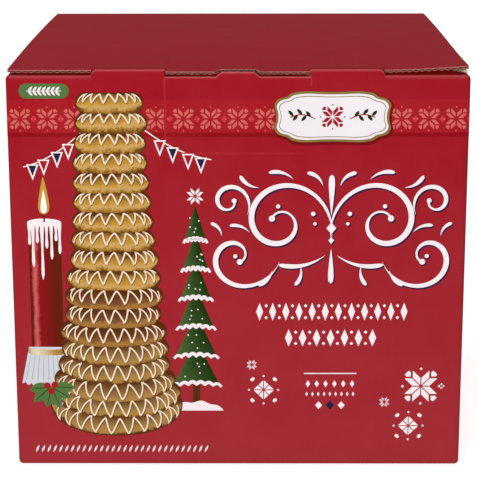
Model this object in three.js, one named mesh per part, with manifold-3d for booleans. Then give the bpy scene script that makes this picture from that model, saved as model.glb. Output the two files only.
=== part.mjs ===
// A shut carton of printed corrugated board for a tall ring cake, folded from one blank.
//
// The lid is the back wall carried on over the top. Two creased bridges join its front edge to the
// front wall. Between them and beside them the board is cut, so the lid's raw edge lies free over a
// narrow gap, and a small tongue of the front wall stands up in a notch in the middle of the lid.
// The bridges end a tear-open panel, whose sides and lower edge are rows of short cuts.
//
// Millimetres, +Z up, the front wall faces -Y, and the origin is the middle of the underside.

import * as THREE from "three";
import { mergeVertices } from "three/addons/utils/BufferGeometryUtils.js";
import Module from "manifold-3d";

// The folded box
const WIDTH = 240; // between the side walls' folds, along X
const DEPTH = 240; // between the front and back folds, along Y
const WALL_HEIGHT = 214; // from the underside to the walls' top folds
const BOARD = 1.6; // thickness of the fine-fluted board
const FOLD_RADIUS = 2.4; // outside of a folded edge
const WALL_BULGE = 0.8; // the middle of a wall, out past its folds

// The lid
const LID_GAP = 1.4; // open between the walls' top folds and the lid
const LID_GAP_DEPTH = 10; // how far that gap reaches in
const LID_SIDE_INSET = 1.2; // the lid's cut sides, in from the side walls' folds
const LID_FRONT_INSET = 0.8; // the lid's cut front edge, behind the front wall's face
const LID_SIDE_CROWN = 1.2; // the lid's sides, up from a straight line at half depth
const LID_MIDDLE_CROWN = 1.8; // the same along the middle of the lid
const CORNER_LIFT = 2; // the right front corner, sprung up
const FRONT_SAG = 0.9; // the lid's front edge, down between the tongue and the bridges
const SAG_RAMP = 1; // beside a bridge, the way along X that the edge takes to go down

// The front edge, from the middle outwards
const TONGUE_HALF_WIDTH = 11.4; // of the tongue at its foot
const TONGUE_BEVEL = 3.1; // each sloping side of the tongue
const TONGUE_RISE = 2.4; // over the cut edge beside it
const TONGUE_CLEARANCE = 0.6; // round the tongue, in the lid's notch
const CUT_EDGE_DROP = 0.7; // the front wall's cut edge, below its top folds
const BRIDGE_START = 37.8; // a bridge's inner side
const BRIDGE_END = 75.6; // its outer side, with a rounded corner
const BRIDGE_PROUD = 0.15; // the creased board, out past the flat wall
const CREASE_RADIUS = 1.4; // outside of a bridge's fold
const CREASE_DIP = 0.5; // the pressed hollow behind the fold
const HOLLOW_MIDDLE = 4; // the hollow's deepest line, behind the front wall's face
const HOLLOW_TURN = 3; // where its front slope aims, behind the same face

// The tear-open panel and the seams
const TEAR_HEIGHT = 40; // its rows of cuts run this far down from the cut edge
const CUT_LENGTH = 5;
const CUT_SPACING = 8;
const CUT_WIDTH = 0.6;
const CUT_DEPTH = 0.7;
const SEAM_WIDTH = 1;
const GLUE_SEAM_INSET = 4; // the back wall's glued end, in from the back's left fold
const FLAP_SEAM_END = 6; // the underside's seam stops this far inside the side folds

// How finely curved surfaces are divided
const FOLD_STEPS = 3; // half of a quarter turn round a fold
const WALL_STEPS = 8; // along a bulged wall
const LID_STEP_ACROSS = 10; // at most, in millimetres
const LID_STEPS_BACK = 14;
const WELD = 1e-4;

const LID_TOP = WALL_HEIGHT + LID_GAP + BOARD; // at the lid's corners
const CUT_EDGE = WALL_HEIGHT - CUT_EDGE_DROP; // the front wall's cut edge
const FRONT = -DEPTH / 2;
const BACK = DEPTH / 2;
const LID_HALF_WIDTH = WIDTH / 2 - LID_SIDE_INSET;
const LID_FRONT = FRONT + LID_FRONT_INSET;
const ROOT_DEPTH = LID_GAP_DEPTH; // how far joined pieces reach back into the carton
const SUNK = 4; // how far joined pieces reach down into the walls
const NOTCH_REACH = TONGUE_HALF_WIDTH + TONGUE_CLEARANCE; // half of the notch's mouth
const OVERCUT = 1; // how far a cutter reaches past what it cuts

const wasm = await Module();
wasm.setup();

// A closed geometry as a solid that can be joined and cut.
function solidOf(geometry) {
  geometry.deleteAttribute("normal");
  geometry.deleteAttribute("uv");
  const merged = mergeVertices(geometry, WELD);
  return new wasm.Manifold(
    new wasm.Mesh({
      numProp: 3,
      vertProperties: merged.attributes.position.array,
      triVerts: new Uint32Array(merged.index.array),
    }),
  );
}

// A solid as an indexed geometry for a mesh.
function geometryOf(solid) {
  const { vertProperties, triVerts } = solid.getMesh();
  const geometry = new THREE.BufferGeometry();
  geometry.setAttribute("position", new THREE.BufferAttribute(vertProperties, 3));
  geometry.setIndex(new THREE.BufferAttribute(triVerts, 1));
  geometry.computeVertexNormals();
  return geometry;
}

function join(solids) {
  return solids.reduce((whole, solid) => whole.add(solid));
}

// A box between two corners.
function box(low, high) {
  const size = high.map((value, axis) => value - low[axis]);
  const middle = high.map((value, axis) => (value + low[axis]) / 2);
  return solidOf(new THREE.BoxGeometry(...size).translate(...middle));
}

// An outline of [y, z] points carried along X from one side to the other.
function alongX(shape, from, to) {
  const geometry = new THREE.ExtrudeGeometry(shape, { depth: to - from, bevelEnabled: false });
  const toYZ = new THREE.Matrix4().makeBasis(
    new THREE.Vector3(0, 1, 0),
    new THREE.Vector3(0, 0, 1),
    new THREE.Vector3(1, 0, 0),
  );
  return solidOf(geometry.applyMatrix4(toYZ).translate(from, 0, 0));
}

// An outline of [x, z] points carried back along Y.
function alongY(shape, from, to) {
  const geometry = new THREE.ExtrudeGeometry(shape, { depth: to - from, bevelEnabled: false });
  return solidOf(geometry.rotateX(Math.PI / 2).translate(0, to, 0));
}

// One axis of the grid that is drawn round the folds: the outer rows stand at equal angles of a
// fold, and the rows between them at equal distances along the wall.
function foldedRow(row, half) {
  const rows = 2 * FOLD_STEPS + WALL_STEPS;
  const flat = half - FOLD_RADIUS;
  const side = row < rows / 2 ? -1 : 1;
  const fromEnd = Math.min(row, rows - row);
  if (fromEnd >= FOLD_STEPS) {
    return flat * ((2 * (row - FOLD_STEPS)) / WALL_STEPS - 1);
  }
  const angle = ((FOLD_STEPS - fromEnd) / FOLD_STEPS) * (Math.PI / 4);
  return side * (flat + FOLD_RADIUS * Math.tan(angle));
}

// How far a wall stands out at a place that runs from -1 to 1 across it and up it.
function bulge(across, up) {
  return WALL_BULGE * Math.max(0, 1 - across ** 2) * Math.max(0, 1 - up ** 2);
}

// The closed box below the lid: flat underside, rounded folds, four bulging walls.
function foldedBox() {
  const rows = 2 * FOLD_STEPS + WALL_STEPS;
  const half = new THREE.Vector3(WIDTH / 2, DEPTH / 2, WALL_HEIGHT / 2);
  const flat = half.clone().subScalar(FOLD_RADIUS);
  const geometry = new THREE.BoxGeometry(rows, rows, rows, rows, rows, rows);
  const points = geometry.attributes.position;
  const point = new THREE.Vector3();
  for (let i = 0; i < points.count; i++) {
    point.fromBufferAttribute(points, i).addScalar(rows / 2).round();
    point.set(foldedRow(point.x, half.x), foldedRow(point.y, half.y), foldedRow(point.z, half.z));
    const core = point.clone().clamp(flat.clone().negate(), flat);
    point.sub(core).setLength(FOLD_RADIUS).add(core);
    const place = core.divide(flat);
    if (Math.abs(place.x) === 1) point.x += place.x * bulge(place.y, place.z);
    if (Math.abs(place.y) === 1) point.y += place.y * bulge(place.x, place.z);
    points.setXYZ(i, point.x, point.y, point.z + half.z);
  }
  return solidOf(geometry);
}

function clamp01(value) {
  return THREE.MathUtils.clamp(value, 0, 1);
}

// The lid's height over a flat lid: crowned from front to back, with its front edge down between
// the tongue and the bridges and its right front corner sprung up.
function lidRise(x, y) {
  const across = x / LID_HALF_WIDTH;
  const back = y / BACK;
  const crown = LID_SIDE_CROWN + (LID_MIDDLE_CROWN - LID_SIDE_CROWN) * (1 - across ** 2);
  const nearFront = Math.max(0, -back) ** 3;
  const besideBridge = clamp01((BRIDGE_START - Math.abs(x)) / SAG_RAMP);
  const besideTongue = clamp01((Math.abs(x) - NOTCH_REACH + TONGUE_BEVEL) / TONGUE_BEVEL);
  const sag = FRONT_SAG * besideBridge * besideTongue;
  const pastBridge = Math.max(0, (x - BRIDGE_END) / (LID_HALF_WIDTH - BRIDGE_END));
  return crown * (1 - back ** 2) + nearFront * (CORNER_LIFT * pastBridge ** 1.5 - sag);
}

// Places across the lid: at every bend of its front edge, and evenly between them.
function lidColumns(from, to) {
  const inner = [NOTCH_REACH - TONGUE_BEVEL, NOTCH_REACH, BRIDGE_START - SAG_RAMP];
  const bends = [...inner, BRIDGE_START, BRIDGE_END];
  const stops = [...bends.toReversed().map((x) => -x), ...bends, to];
  const columns = [from];
  for (const stop of stops) {
    const start = columns.at(-1);
    const steps = Math.ceil((stop - start) / LID_STEP_ACROSS);
    for (let step = 1; step <= steps; step++) {
      columns.push(start + ((stop - start) * step) / steps);
    }
  }
  return columns;
}

// A slab whose top follows the lid. Its underside follows it too, or stays flat.
function lidSlab(low, high, flatBelow) {
  const size = high.map((value, axis) => value - low[axis]);
  const columns = lidColumns(low[0], high[0]);
  const across = columns.length - 1;
  const geometry = new THREE.BoxGeometry(...size, across, LID_STEPS_BACK, 1);
  geometry.translate(...high.map((value, axis) => (value + low[axis]) / 2));
  const points = geometry.attributes.position;
  const middle = (low[2] + high[2]) / 2;
  for (let i = 0; i < points.count; i++) {
    const x = columns[Math.round(((points.getX(i) - low[0]) / size[0]) * across)];
    const z = points.getZ(i);
    points.setX(i, x);
    if (z < middle && flatBelow) continue;
    points.setZ(i, z + lidRise(x, points.getY(i)));
  }
  return solidOf(geometry);
}

// The lid's board, notched round the tongue.
function lidBoard() {
  const board = lidSlab(
    [-LID_HALF_WIDTH, LID_FRONT, LID_TOP - BOARD],
    [LID_HALF_WIDTH, BACK - FOLD_RADIUS, LID_TOP],
    false,
  );
  const back = FRONT + TONGUE_RISE + TONGUE_CLEARANCE;
  const notch = new THREE.Shape();
  notch.moveTo(-NOTCH_REACH, FRONT);
  notch.lineTo(NOTCH_REACH, FRONT);
  notch.lineTo(NOTCH_REACH - TONGUE_BEVEL, back);
  notch.lineTo(-NOTCH_REACH + TONGUE_BEVEL, back);
  const low = LID_TOP - BOARD - FRONT_SAG - OVERCUT;
  const height = LID_TOP + OVERCUT - low;
  const cutter = new THREE.ExtrudeGeometry(notch, { depth: height, bevelEnabled: false });
  return board.subtract(solidOf(cutter.translate(0, 0, low)));
}

// What fills the carton under the lid, set back all round to leave the gap.
function filling() {
  return lidSlab(
    [-LID_HALF_WIDTH + LID_GAP_DEPTH, FRONT + LID_GAP_DEPTH, WALL_HEIGHT - SUNK],
    [LID_HALF_WIDTH - LID_GAP_DEPTH, BACK - FOLD_RADIUS, LID_TOP - BOARD / 2],
    true,
  );
}

// The back wall's fold into the lid.
function backFold() {
  const shape = new THREE.Shape();
  shape.moveTo(BACK - ROOT_DEPTH, WALL_HEIGHT - SUNK);
  shape.lineTo(BACK, WALL_HEIGHT - SUNK);
  shape.absarc(BACK - FOLD_RADIUS, LID_TOP - FOLD_RADIUS, FOLD_RADIUS, 0, Math.PI / 2);
  shape.lineTo(BACK - ROOT_DEPTH, LID_TOP);
  return alongX(shape, -LID_HALF_WIDTH, LID_HALF_WIDTH);
}

// A bridge seen from the side: up the front wall, round the fold and over the pressed hollow.
function bridgeProfile() {
  const face = FRONT - BRIDGE_PROUD;
  const dip = LID_TOP - CREASE_DIP;
  const shape = new THREE.Shape();
  shape.moveTo(FRONT + ROOT_DEPTH, LID_TOP);
  shape.quadraticCurveTo(FRONT + ROOT_DEPTH / 2, LID_TOP, FRONT + HOLLOW_MIDDLE, dip);
  shape.quadraticCurveTo(FRONT + HOLLOW_TURN, dip, face + CREASE_RADIUS, LID_TOP);
  shape.absarc(face + CREASE_RADIUS, LID_TOP - CREASE_RADIUS, CREASE_RADIUS, Math.PI / 2, Math.PI);
  shape.lineTo(face, WALL_HEIGHT - SUNK);
  shape.lineTo(FRONT + ROOT_DEPTH, WALL_HEIGHT - SUNK);
  return shape;
}

// One bridge between the front wall and the lid, on the left (-1) or the right (1). Its outer top
// corner is rounded where the cut turns down to the wall's fold.
function bridge(side) {
  const corner = 2 * CREASE_RADIUS;
  const low = WALL_HEIGHT - SUNK;
  const high = LID_TOP + BOARD;
  const outline = new THREE.Shape();
  outline.moveTo(side * BRIDGE_START, low);
  outline.lineTo(side * BRIDGE_END, low);
  outline.lineTo(side * BRIDGE_END, LID_TOP - corner);
  outline.quadraticCurveTo(side * BRIDGE_END, LID_TOP, side * (BRIDGE_END - corner), LID_TOP);
  outline.lineTo(side * (BRIDGE_END - corner), high);
  outline.lineTo(side * BRIDGE_START, high);
  const ends = [side * BRIDGE_START, side * BRIDGE_END].sort((a, b) => a - b);
  const folded = alongX(bridgeProfile(), ...ends);
  return folded.intersect(alongY(outline, FRONT - OVERCUT, FRONT + ROOT_DEPTH + OVERCUT));
}

// The gap in front of the filling is open between the bridges down to the front wall's cut edge.
function cutEdgeGap() {
  return box(
    [-BRIDGE_START, FRONT - OVERCUT, CUT_EDGE],
    [BRIDGE_START, FRONT + LID_GAP_DEPTH, WALL_HEIGHT + LID_GAP / 2],
  );
}

// The front wall's board up to its cut edge, with the tongue in the middle.
function cutEdgeBoard() {
  const low = WALL_HEIGHT - SUNK;
  const top = CUT_EDGE + TONGUE_RISE;
  const outline = new THREE.Shape();
  outline.moveTo(-BRIDGE_START, low);
  outline.lineTo(BRIDGE_START, low);
  outline.lineTo(BRIDGE_START, CUT_EDGE);
  outline.lineTo(TONGUE_HALF_WIDTH, CUT_EDGE);
  outline.lineTo(TONGUE_HALF_WIDTH - TONGUE_BEVEL, top);
  outline.lineTo(-TONGUE_HALF_WIDTH + TONGUE_BEVEL, top);
  outline.lineTo(-TONGUE_HALF_WIDTH, CUT_EDGE);
  outline.lineTo(-BRIDGE_START, CUT_EDGE);
  return alongY(outline, FRONT - BRIDGE_PROUD, FRONT + BOARD);
}

// One short cut in the front wall, centred on x and z, standing or lying.
function shortCut(x, z, standing) {
  const halfX = (standing ? CUT_WIDTH : CUT_LENGTH) / 2;
  const halfZ = (standing ? CUT_LENGTH : CUT_WIDTH) / 2;
  const half = WALL_HEIGHT / 2;
  const face = FRONT - bulge(x / (WIDTH / 2), (z - half) / half);
  return box([x - halfX, face - OVERCUT, z - halfZ], [x + halfX, face + CUT_DEPTH, z + halfZ]);
}

// The rows of cuts: down from each bridge's inner corner, and across between their feet.
function tearCuts() {
  const cuts = [];
  for (let z = CUT_EDGE - CUT_SPACING; z > CUT_EDGE - TEAR_HEIGHT; z -= CUT_SPACING) {
    cuts.push(shortCut(-BRIDGE_START, z, true), shortCut(BRIDGE_START, z, true));
  }
  const across = Math.floor(BRIDGE_START / CUT_SPACING);
  for (let i = -across; i <= across; i++) {
    cuts.push(shortCut(i * CUT_SPACING, CUT_EDGE - TEAR_HEIGHT, false));
  }
  return join(cuts);
}

// Where the outer flaps meet under the carton, and where the back wall's end is glued down.
function seams() {
  const flapEnd = WIDTH / 2 - FLAP_SEAM_END;
  const glueX = WIDTH / 2 - GLUE_SEAM_INSET;
  return join([
    box([-flapEnd, -SEAM_WIDTH / 2, -OVERCUT], [flapEnd, SEAM_WIDTH / 2, BOARD]),
    box(
      [glueX - SEAM_WIDTH, BACK - CUT_DEPTH, FOLD_RADIUS],
      [glueX, BACK + WALL_BULGE, WALL_HEIGHT - SUNK],
    ),
  ]);
}

function carton() {
  const walls = foldedBox().subtract(cutEdgeGap());
  const added = [cutEdgeBoard(), filling(), lidBoard(), backFold(), bridge(-1), bridge(1)];
  const solid = join([walls, ...added]).subtract(tearCuts()).subtract(seams());
  const printedBoard = new THREE.MeshStandardMaterial({
    color: new THREE.Color().setRGB(0.63, 0.12, 0.16, THREE.SRGBColorSpace),
    roughness: 0.45,
    metalness: 0,
  });
  const mesh = new THREE.Mesh(geometryOf(solid), printedBoard);
  mesh.name = "carton";
  return mesh;
}

const group = new THREE.Group();
group.add(carton());

export default group;
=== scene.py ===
"""A shut cake carton of printed corrugated board.

The walls, the lid with its fluted core, the creased bridges and the flaps are surfaces worked out
from a few sizes. The print lies over the board as thin closed slabs of ink, one piece for each ink
of each motif, and every ink shares the board's flutes, grain and mottle.
"""

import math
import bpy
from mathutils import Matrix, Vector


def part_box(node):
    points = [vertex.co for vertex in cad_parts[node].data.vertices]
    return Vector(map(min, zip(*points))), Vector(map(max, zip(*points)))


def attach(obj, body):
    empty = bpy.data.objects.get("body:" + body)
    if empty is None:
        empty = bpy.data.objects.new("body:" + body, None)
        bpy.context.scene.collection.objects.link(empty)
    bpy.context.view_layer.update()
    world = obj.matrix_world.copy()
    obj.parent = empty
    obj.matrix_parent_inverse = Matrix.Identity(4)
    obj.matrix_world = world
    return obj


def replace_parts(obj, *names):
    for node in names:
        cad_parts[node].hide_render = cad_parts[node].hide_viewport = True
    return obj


bl_info = {
    "name": "Printed cake carton",
    "version": (1, 0, 0),
    "blender": (4, 5, 0),
    "location": "View3D > Sidebar > Carton",
    "description": "Builds a shut carton of printed corrugated board round its packed model",
    "category": "Add Mesh",
}

import bmesh
import bpy
import numpy as np
from bpy.props import FloatProperty, FloatVectorProperty, PointerProperty
from mathutils import Vector

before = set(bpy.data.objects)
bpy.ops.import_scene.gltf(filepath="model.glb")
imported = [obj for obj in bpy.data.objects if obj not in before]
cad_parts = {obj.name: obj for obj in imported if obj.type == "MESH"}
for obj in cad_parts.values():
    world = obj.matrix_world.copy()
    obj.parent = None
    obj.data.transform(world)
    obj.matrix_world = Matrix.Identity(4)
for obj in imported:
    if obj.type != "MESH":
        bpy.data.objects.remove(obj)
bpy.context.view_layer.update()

MM = 0.001
NODE = "carton"
BODY = "root"
BOARD_MAP = "board"  # the UV map that unrolls the board, in metres
FRONT, RIGHT, BACK, LEFT = range(4)
WALLS = ("front", "right", "back", "left")

# The board's form, in millimetres
BRIDGE_REACH = 10.0  # how far a folded strip reaches in over the lid
BRIDGE_LAP = 1.3  # how much of that lies on the lid's own board
SCORE_PLACE = 8.3  # a score line along the lid's front, behind the front wall's face, shown only as painted shade
EDGE_DROOP = 0.2  # the lid's free front edge, pressed down when it was cut
EDGE_CRUSH = 0.45  # its under sheet, pressed up there between the flutes
PRESS_SPREAD = 1.6  # how far behind that edge the press fades
NEAR_CUT = np.array([0.3, 0.7, 1.2, 1.8, 2.5, 3.4])  # close rows behind that edge
NEAR_FOLD = np.array([0.4, 0.9, 1.6, 2.6, 4.0])  # close rows where the wear of a fold fades


def length(name, default, description):
    """A size in metres that a user can change in the panel."""
    return FloatProperty(
        name=name, description=description, default=default, unit="LENGTH", precision=5, min=0
    )


def ink(name, colour, description):
    """A colour, given as it looks on screen from 0 to 255."""
    shown = np.array(colour) / 255
    linear = np.where(shown <= 0.04045, shown / 12.92, ((shown + 0.055) / 1.055) ** 2.4)
    return FloatVectorProperty(
        name=name,
        description=description,
        default=tuple(linear),
        subtype="COLOR",
        size=3,
        min=0,
        max=1,
    )


class CartonSizes(bpy.types.PropertyGroup):
    wall_height: length("Wall height", 0.214, "From the underside to the walls' top folds")
    board: length("Board", 0.0016, "Thickness of the corrugated board")
    liner: length("Liner", 0.00042, "Thickness of each flat sheet of the board")
    flute_pitch: length("Flute pitch", 0.0033, "From one flute of the board to the next")
    fold_radius: length("Fold radius", 0.0024, "Outside of a folded edge")
    wall_bulge: length("Wall bulge", 0.0008, "The middle of a wall, out past its folds")
    lid_gap: length("Lid gap", 0.0014, "Open between the walls' top folds and the lid")
    lid_side_inset: length("Lid side inset", 0.0012, "The lid's cut sides, in from the folds")
    lid_front_inset: length("Lid front inset", 0.0008, "The lid's cut edge, behind the front wall")
    lid_side_crown: length("Side crown", 0.0012, "The lid's sides, up at half depth")
    lid_middle_crown: length("Middle crown", 0.0018, "The middle of the lid, up at half depth")
    corner_lift: length("Corner lift", 0.002, "The lid's right front corner, sprung up")
    front_sag: length("Front sag", 0.0009, "The lid's front edge, down beside the tongue")
    sag_ramp: length("Sag ramp", 0.001, "Beside a bridge, the way along X that the edge goes down")
    tongue_half_width: length("Tongue", 0.0114, "Half the tongue's width at its foot")
    tongue_bevel: length("Tongue bevel", 0.0031, "Each sloping side of the tongue")
    tongue_rise: length("Tongue rise", 0.0024, "The tongue, up from the cut edge beside it")
    tongue_clearance: length("Tongue clearance", 0.0006, "Round the tongue, in the lid's notch")
    cut_edge_drop: length("Cut edge drop", 0.0007, "The front wall's cut edge, below its folds")
    bridge_start: length("Bridge start", 0.0378, "A bridge's inner side, from the middle")
    bridge_end: length("Bridge end", 0.0756, "A bridge's outer side, from the middle")
    crease_radius: length("Crease radius", 0.0014, "Outside of a bridge's fold")
    tear_height: length("Tear height", 0.040, "The tear-open panel, down from the cut edge")
    star_pitch_count: FloatProperty(
        name="Stars on a wall", description="Stars of the band on one wall", default=17, min=1
    )


class CartonInks(bpy.types.PropertyGroup):
    ground: ink("Ground", (152, 20, 33), "The red that floods the board")
    band: ink("Band", (160, 24, 33), "The brighter red behind the band of stars")
    band_line: ink("Band line", (138, 12, 22), "The darker line under the band")
    # painted shade: the tear-open slits are this dark ink, standing in for the dark inside cuts
    # that the board doesn't have; the plaque's shadow is print
    deep: ink("Deep red", (112, 14, 18), "The plaque's shadow and the tear-open slits")
    pink: ink("Pink", (200, 97, 92), "The band's stars")
    rose: ink("Rose", (188, 54, 60), "The diamonds between the band's stars")
    rubbed: ink("Rubbed print", (168, 35, 45), "Where the print is rubbed along the cuts")
    # the worn ink is also a painted highlight where the folds and creases catch light
    worn: ink("Worn print", (212, 100, 106), "Where a fold has worn the print")
    white: ink("White", (238, 224, 227), "Scrolls, stars, snow, pennants and the candle's wax")
    navy: ink("Navy", (34, 28, 60), "Shadows of the scrolls, and fields of pennants")
    icing: ink("Icing", (236, 214, 188), "The rings' icing")
    cream: ink("Cream", (250, 246, 232), "The flame and the pennants' strings")
    plaque: ink("Plaque", (230, 224, 228), "The plaque's field")
    olive: ink("Olive gold", (134, 112, 58), "The plaque's rim")
    green: ink("Green", (80, 112, 60), "The small label, the leaves and the tree")
    dark_green: ink("Dark green", (24, 46, 10), "The tree's shaded side, veins and sprigs")
    gold: ink("Gold", (190, 143, 56), "The baked rings")
    brown: ink("Brown crust", (130, 85, 52), "The rings that are baked a little longer")
    tan: ink("Tan crust", (148, 114, 66), "The rings at the tower's foot")
    crust: ink("Crust", (84, 42, 16), "Between the rings")
    wax: ink("Wax red", (104, 10, 12), "The candle")
    kraft: ink("Kraft", (184, 110, 100), "The raw edge of the board's outer sheet")
    # painted shade: the fluting's and the inner sheet's raw edges are darker than the kraft, as
    # they lie in the lid's edge under its top sheet
    fluting: ink("Fluting", (156, 74, 62), "The raw edge of the fluted sheet")
    hollow: ink("Hollow", (140, 70, 58), "The raw edge of the board's inner sheet")
    # painted light: the gap ink is a faint glow given off in the gap under the lid
    gap: ink("Gap", (80, 10, 7), "Light that the red faces under the lid pass to each other")
    liner: ink("Liner", (224, 210, 184), "The board's unprinted side")
    frill: ink("Frill", (200, 202, 208), "The paper frill")
    pleat: ink("Pleat", (170, 172, 182), "Between the pleats of the paper frill")


# ----------------------------------------------
# The carton's form


def bell(distance, width):
    """A bell curve: 1 where distance is nought, and 1/e a width away."""
    return np.exp(-((distance / width) ** 2))


class Carton:
    """The carton's form in millimetres, from the panel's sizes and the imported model's box."""

    def __init__(self, context):
        sizes = context.scene.carton_sizes
        for name in CartonSizes.__annotations__:
            if name != "star_pitch_count":
                setattr(self, name, getattr(sizes, name) / MM)
        low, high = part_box(NODE)
        self.half = (high[0] - low[0]) / 2 / MM - self.wall_bulge
        self.flat = self.half - self.fold_radius
        self.wall_length = 2 * self.flat + self.fold_radius * math.pi / 2
        self.lid_top = self.wall_height + self.lid_gap + self.board
        self.cut_edge = self.wall_height - self.cut_edge_drop
        self.lid_half_width = self.half - self.lid_side_inset
        self.notch_reach = self.tongue_half_width + self.tongue_clearance
        self.star_pitch = 2 * self.half / sizes.star_pitch_count

    def bulge(self, across, up):
        """How far a wall stands out: a product of two parabolas that are nought at the folds."""
        middle = self.wall_height / 2
        place = (up - middle) / (middle - self.fold_radius)
        shape = np.maximum(0, 1 - (across / self.flat) ** 2) * np.maximum(0, 1 - place**2)
        return self.wall_bulge * shape

    def on_wall(self, side, across, up, lift=0.0, inset=0.0):
        """Places on a wall and round its folds. across runs from the wall's middle along the
        unrolled board: straight to the fold, then a quarter circle whose radius is the fold's
        less inset. lift is added outwards. The other walls are the front one turned by quarters."""
        across, up, lift, inset = np.broadcast_arrays(across, up, lift, inset)
        turn = np.clip((np.abs(across) - self.flat) / self.fold_radius, 0, math.pi / 2)
        right = np.sign(across)
        radius = self.fold_radius - inset + lift + self.bulge(across, up) * (inset <= 0)
        x = right * (np.minimum(np.abs(across), self.flat) + radius * np.sin(turn))
        y = -(self.flat + radius * np.cos(turn))
        for _ in range(side):
            x, y = -y, x
        return np.stack([x, y, up], -1)

    def unrolled(self, side, across, up):
        """The same places on the flat board, for the board's UV map."""
        across, up = np.broadcast_arrays(across, up)
        return np.stack([side * self.wall_length + across, up], -1)

    def lid(self, x, y):
        """The lid's height: an arch from front to back, with the front edge down by one step
        between the tongue and the bridges, and the right front corner rising as a power of x."""
        across, back = x / self.lid_half_width, y / self.half
        crown = self.lid_side_crown
        crown = crown + (self.lid_middle_crown - self.lid_side_crown) * (1 - across**2)
        near_front = np.maximum(0, -back) ** 3
        beside_bridge = np.clip((self.bridge_start - np.abs(x)) / self.sag_ramp, 0, 1)
        beside_tongue = (np.abs(x) - self.notch_reach + self.tongue_bevel) / self.tongue_bevel
        sag = self.front_sag * beside_bridge * np.clip(beside_tongue, 0, 1)
        past = np.maximum(0, (x - self.bridge_end) / (self.lid_half_width - self.bridge_end))
        rise = crown * (1 - back**2) + near_front * (self.corner_lift * past**1.5 - sag)
        return self.lid_top + rise

    def tongue(self, x):
        """The front wall's cut edge: level, with the tongue's trapezium in the middle."""
        slope = (self.tongue_half_width - np.abs(x)) / self.tongue_bevel
        return self.cut_edge + self.tongue_rise * np.clip(slope, 0, 1)

    def bridged(self, x):
        """Whether a bridge joins the lid to the front wall at x."""
        return (np.abs(x) > self.bridge_start) & (np.abs(x) < self.bridge_end)

    def lid_front(self, x):
        """Where the lid's board ends in front: notched round the tongue, and stopping under the
        back end of a bridge where that takes over."""
        depth = self.tongue_rise + self.tongue_clearance
        notch = depth * np.clip((self.notch_reach - np.abs(x)) / self.tongue_bevel, 0, 1)
        edge = np.where(self.bridged(x), BRIDGE_REACH - BRIDGE_LAP, notch)
        return -self.half + np.maximum(self.lid_front_inset, edge)

    def pressed(self, x, y):
        """How much the cut has pressed the lid: 1 at its free front edge, and behind it a bell
        curve. Under the bridges, where the board isn't cut, it is 0."""
        return bell(y - self.lid_front(x), PRESS_SPREAD) * ~self.bridged(x)


# ----------------------------------------------
# Meshes


def grid_faces(rows, columns, closed=False):
    """Quads of a grid of points whose rows follow each other, the last column joined to the
    first where it is closed. Turned so that rows going up and columns going right face out."""
    across = columns if closed else columns - 1
    row, column = np.meshgrid(np.arange(rows - 1), np.arange(across), indexing="ij")
    after = (column + 1) % columns
    corners = [
        row * columns + column,
        row * columns + after,
        (row + 1) * columns + after,
        (row + 1) * columns + column,
    ]
    return np.stack(corners, -1).reshape(-1, 4)


def new_object(name, points, faces, materials, uv=None, face_material=None, wrap=None):
    """A mesh object from points in millimetres. uv is one place on the board for each point;
    with wrap, faces that cross the unrolled board's end have their low corners moved past it."""
    mesh = bpy.data.meshes.new(name)
    mesh.from_pydata((points * MM).tolist(), [], [list(face) for face in faces])
    for material in materials:
        mesh.materials.append(material)
    if face_material is not None:
        mesh.polygons.foreach_set("material_index", np.asarray(face_material, np.int32))
    if uv is not None:
        corners = np.empty(len(mesh.loops), np.int32)
        mesh.loops.foreach_get("vertex_index", corners)
        places = uv[corners] * MM
        if wrap:
            starts = np.empty(len(mesh.polygons), np.int32)
            mesh.polygons.foreach_get("loop_start", starts)
            furthest = np.maximum.reduceat(places[:, 0], starts)
            face_of = np.repeat(np.arange(len(starts)), np.diff(np.append(starts, len(corners))))
            places[:, 0] += wrap * MM * (furthest[face_of] - places[:, 0] > wrap * MM / 2)
        layer = mesh.uv_layers.new(name=BOARD_MAP)
        layer.uv.foreach_set("vector", places.astype(np.float32).ravel())
    mesh.update()
    made = bpy.data.objects.new(name, mesh)
    bpy.context.collection.objects.link(made)
    return made


def set_attribute(made, name, values):
    """A number for each point, that the piece's material reads."""
    attribute = made.data.attributes.new(name, "FLOAT", "POINT")
    attribute.data.foreach_set("value", np.asarray(values, np.float32).ravel())


def merge_doubles(made):
    """Joins points that coincide, which closes poles and drops faces with no area."""
    work = bmesh.new()
    work.from_mesh(made.data)
    bmesh.ops.remove_doubles(work, verts=work.verts, dist=1e-7)
    work.to_mesh(made.data)
    work.free()


def smooth(made, angle=32):
    """Smooth shading, with edges over the angle kept sharp."""
    mesh = made.data
    mesh.polygons.foreach_set("use_smooth", np.ones(len(mesh.polygons), bool))
    mesh.set_sharp_from_angle(angle=math.radians(angle))


def slab(name, top, bottom, materials, uv, fold=None):
    """A closed slab between two grids of points with the same rows and columns. Its top takes the
    first material, its underside the second and its rim the third. fold is the wear of each place
    of the grid, with its painted highlight and painted shade."""
    rows, columns = top.shape[:2]
    count = rows * columns
    faces = grid_faces(rows, columns)
    index = np.arange(count).reshape(rows, columns)
    rim = np.concatenate([index[0, :], index[1:, -1], index[-1, -2::-1], index[-2:0:-1, 0]])
    after = np.roll(rim, -1)
    sides = np.stack([rim, rim + count, after + count, after], -1)
    every = np.concatenate([faces, faces[:, ::-1] + count, sides])
    kinds = np.repeat([0, 1, 2], [len(faces), len(faces), len(sides)])
    points = np.concatenate([top.reshape(-1, 3), bottom.reshape(-1, 3)])
    places = np.concatenate([uv.reshape(-1, 2)] * 2)
    made = new_object(name, points, every, materials, places, kinds)
    if fold is not None:
        set_attribute(made, "fold", np.tile(np.ravel(fold), 2))
    merge_doubles(made)
    smooth(made)
    return made


def dress(made):
    """Puts a finished piece on the carton's body."""
    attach(made, BODY)
    return made


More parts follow.
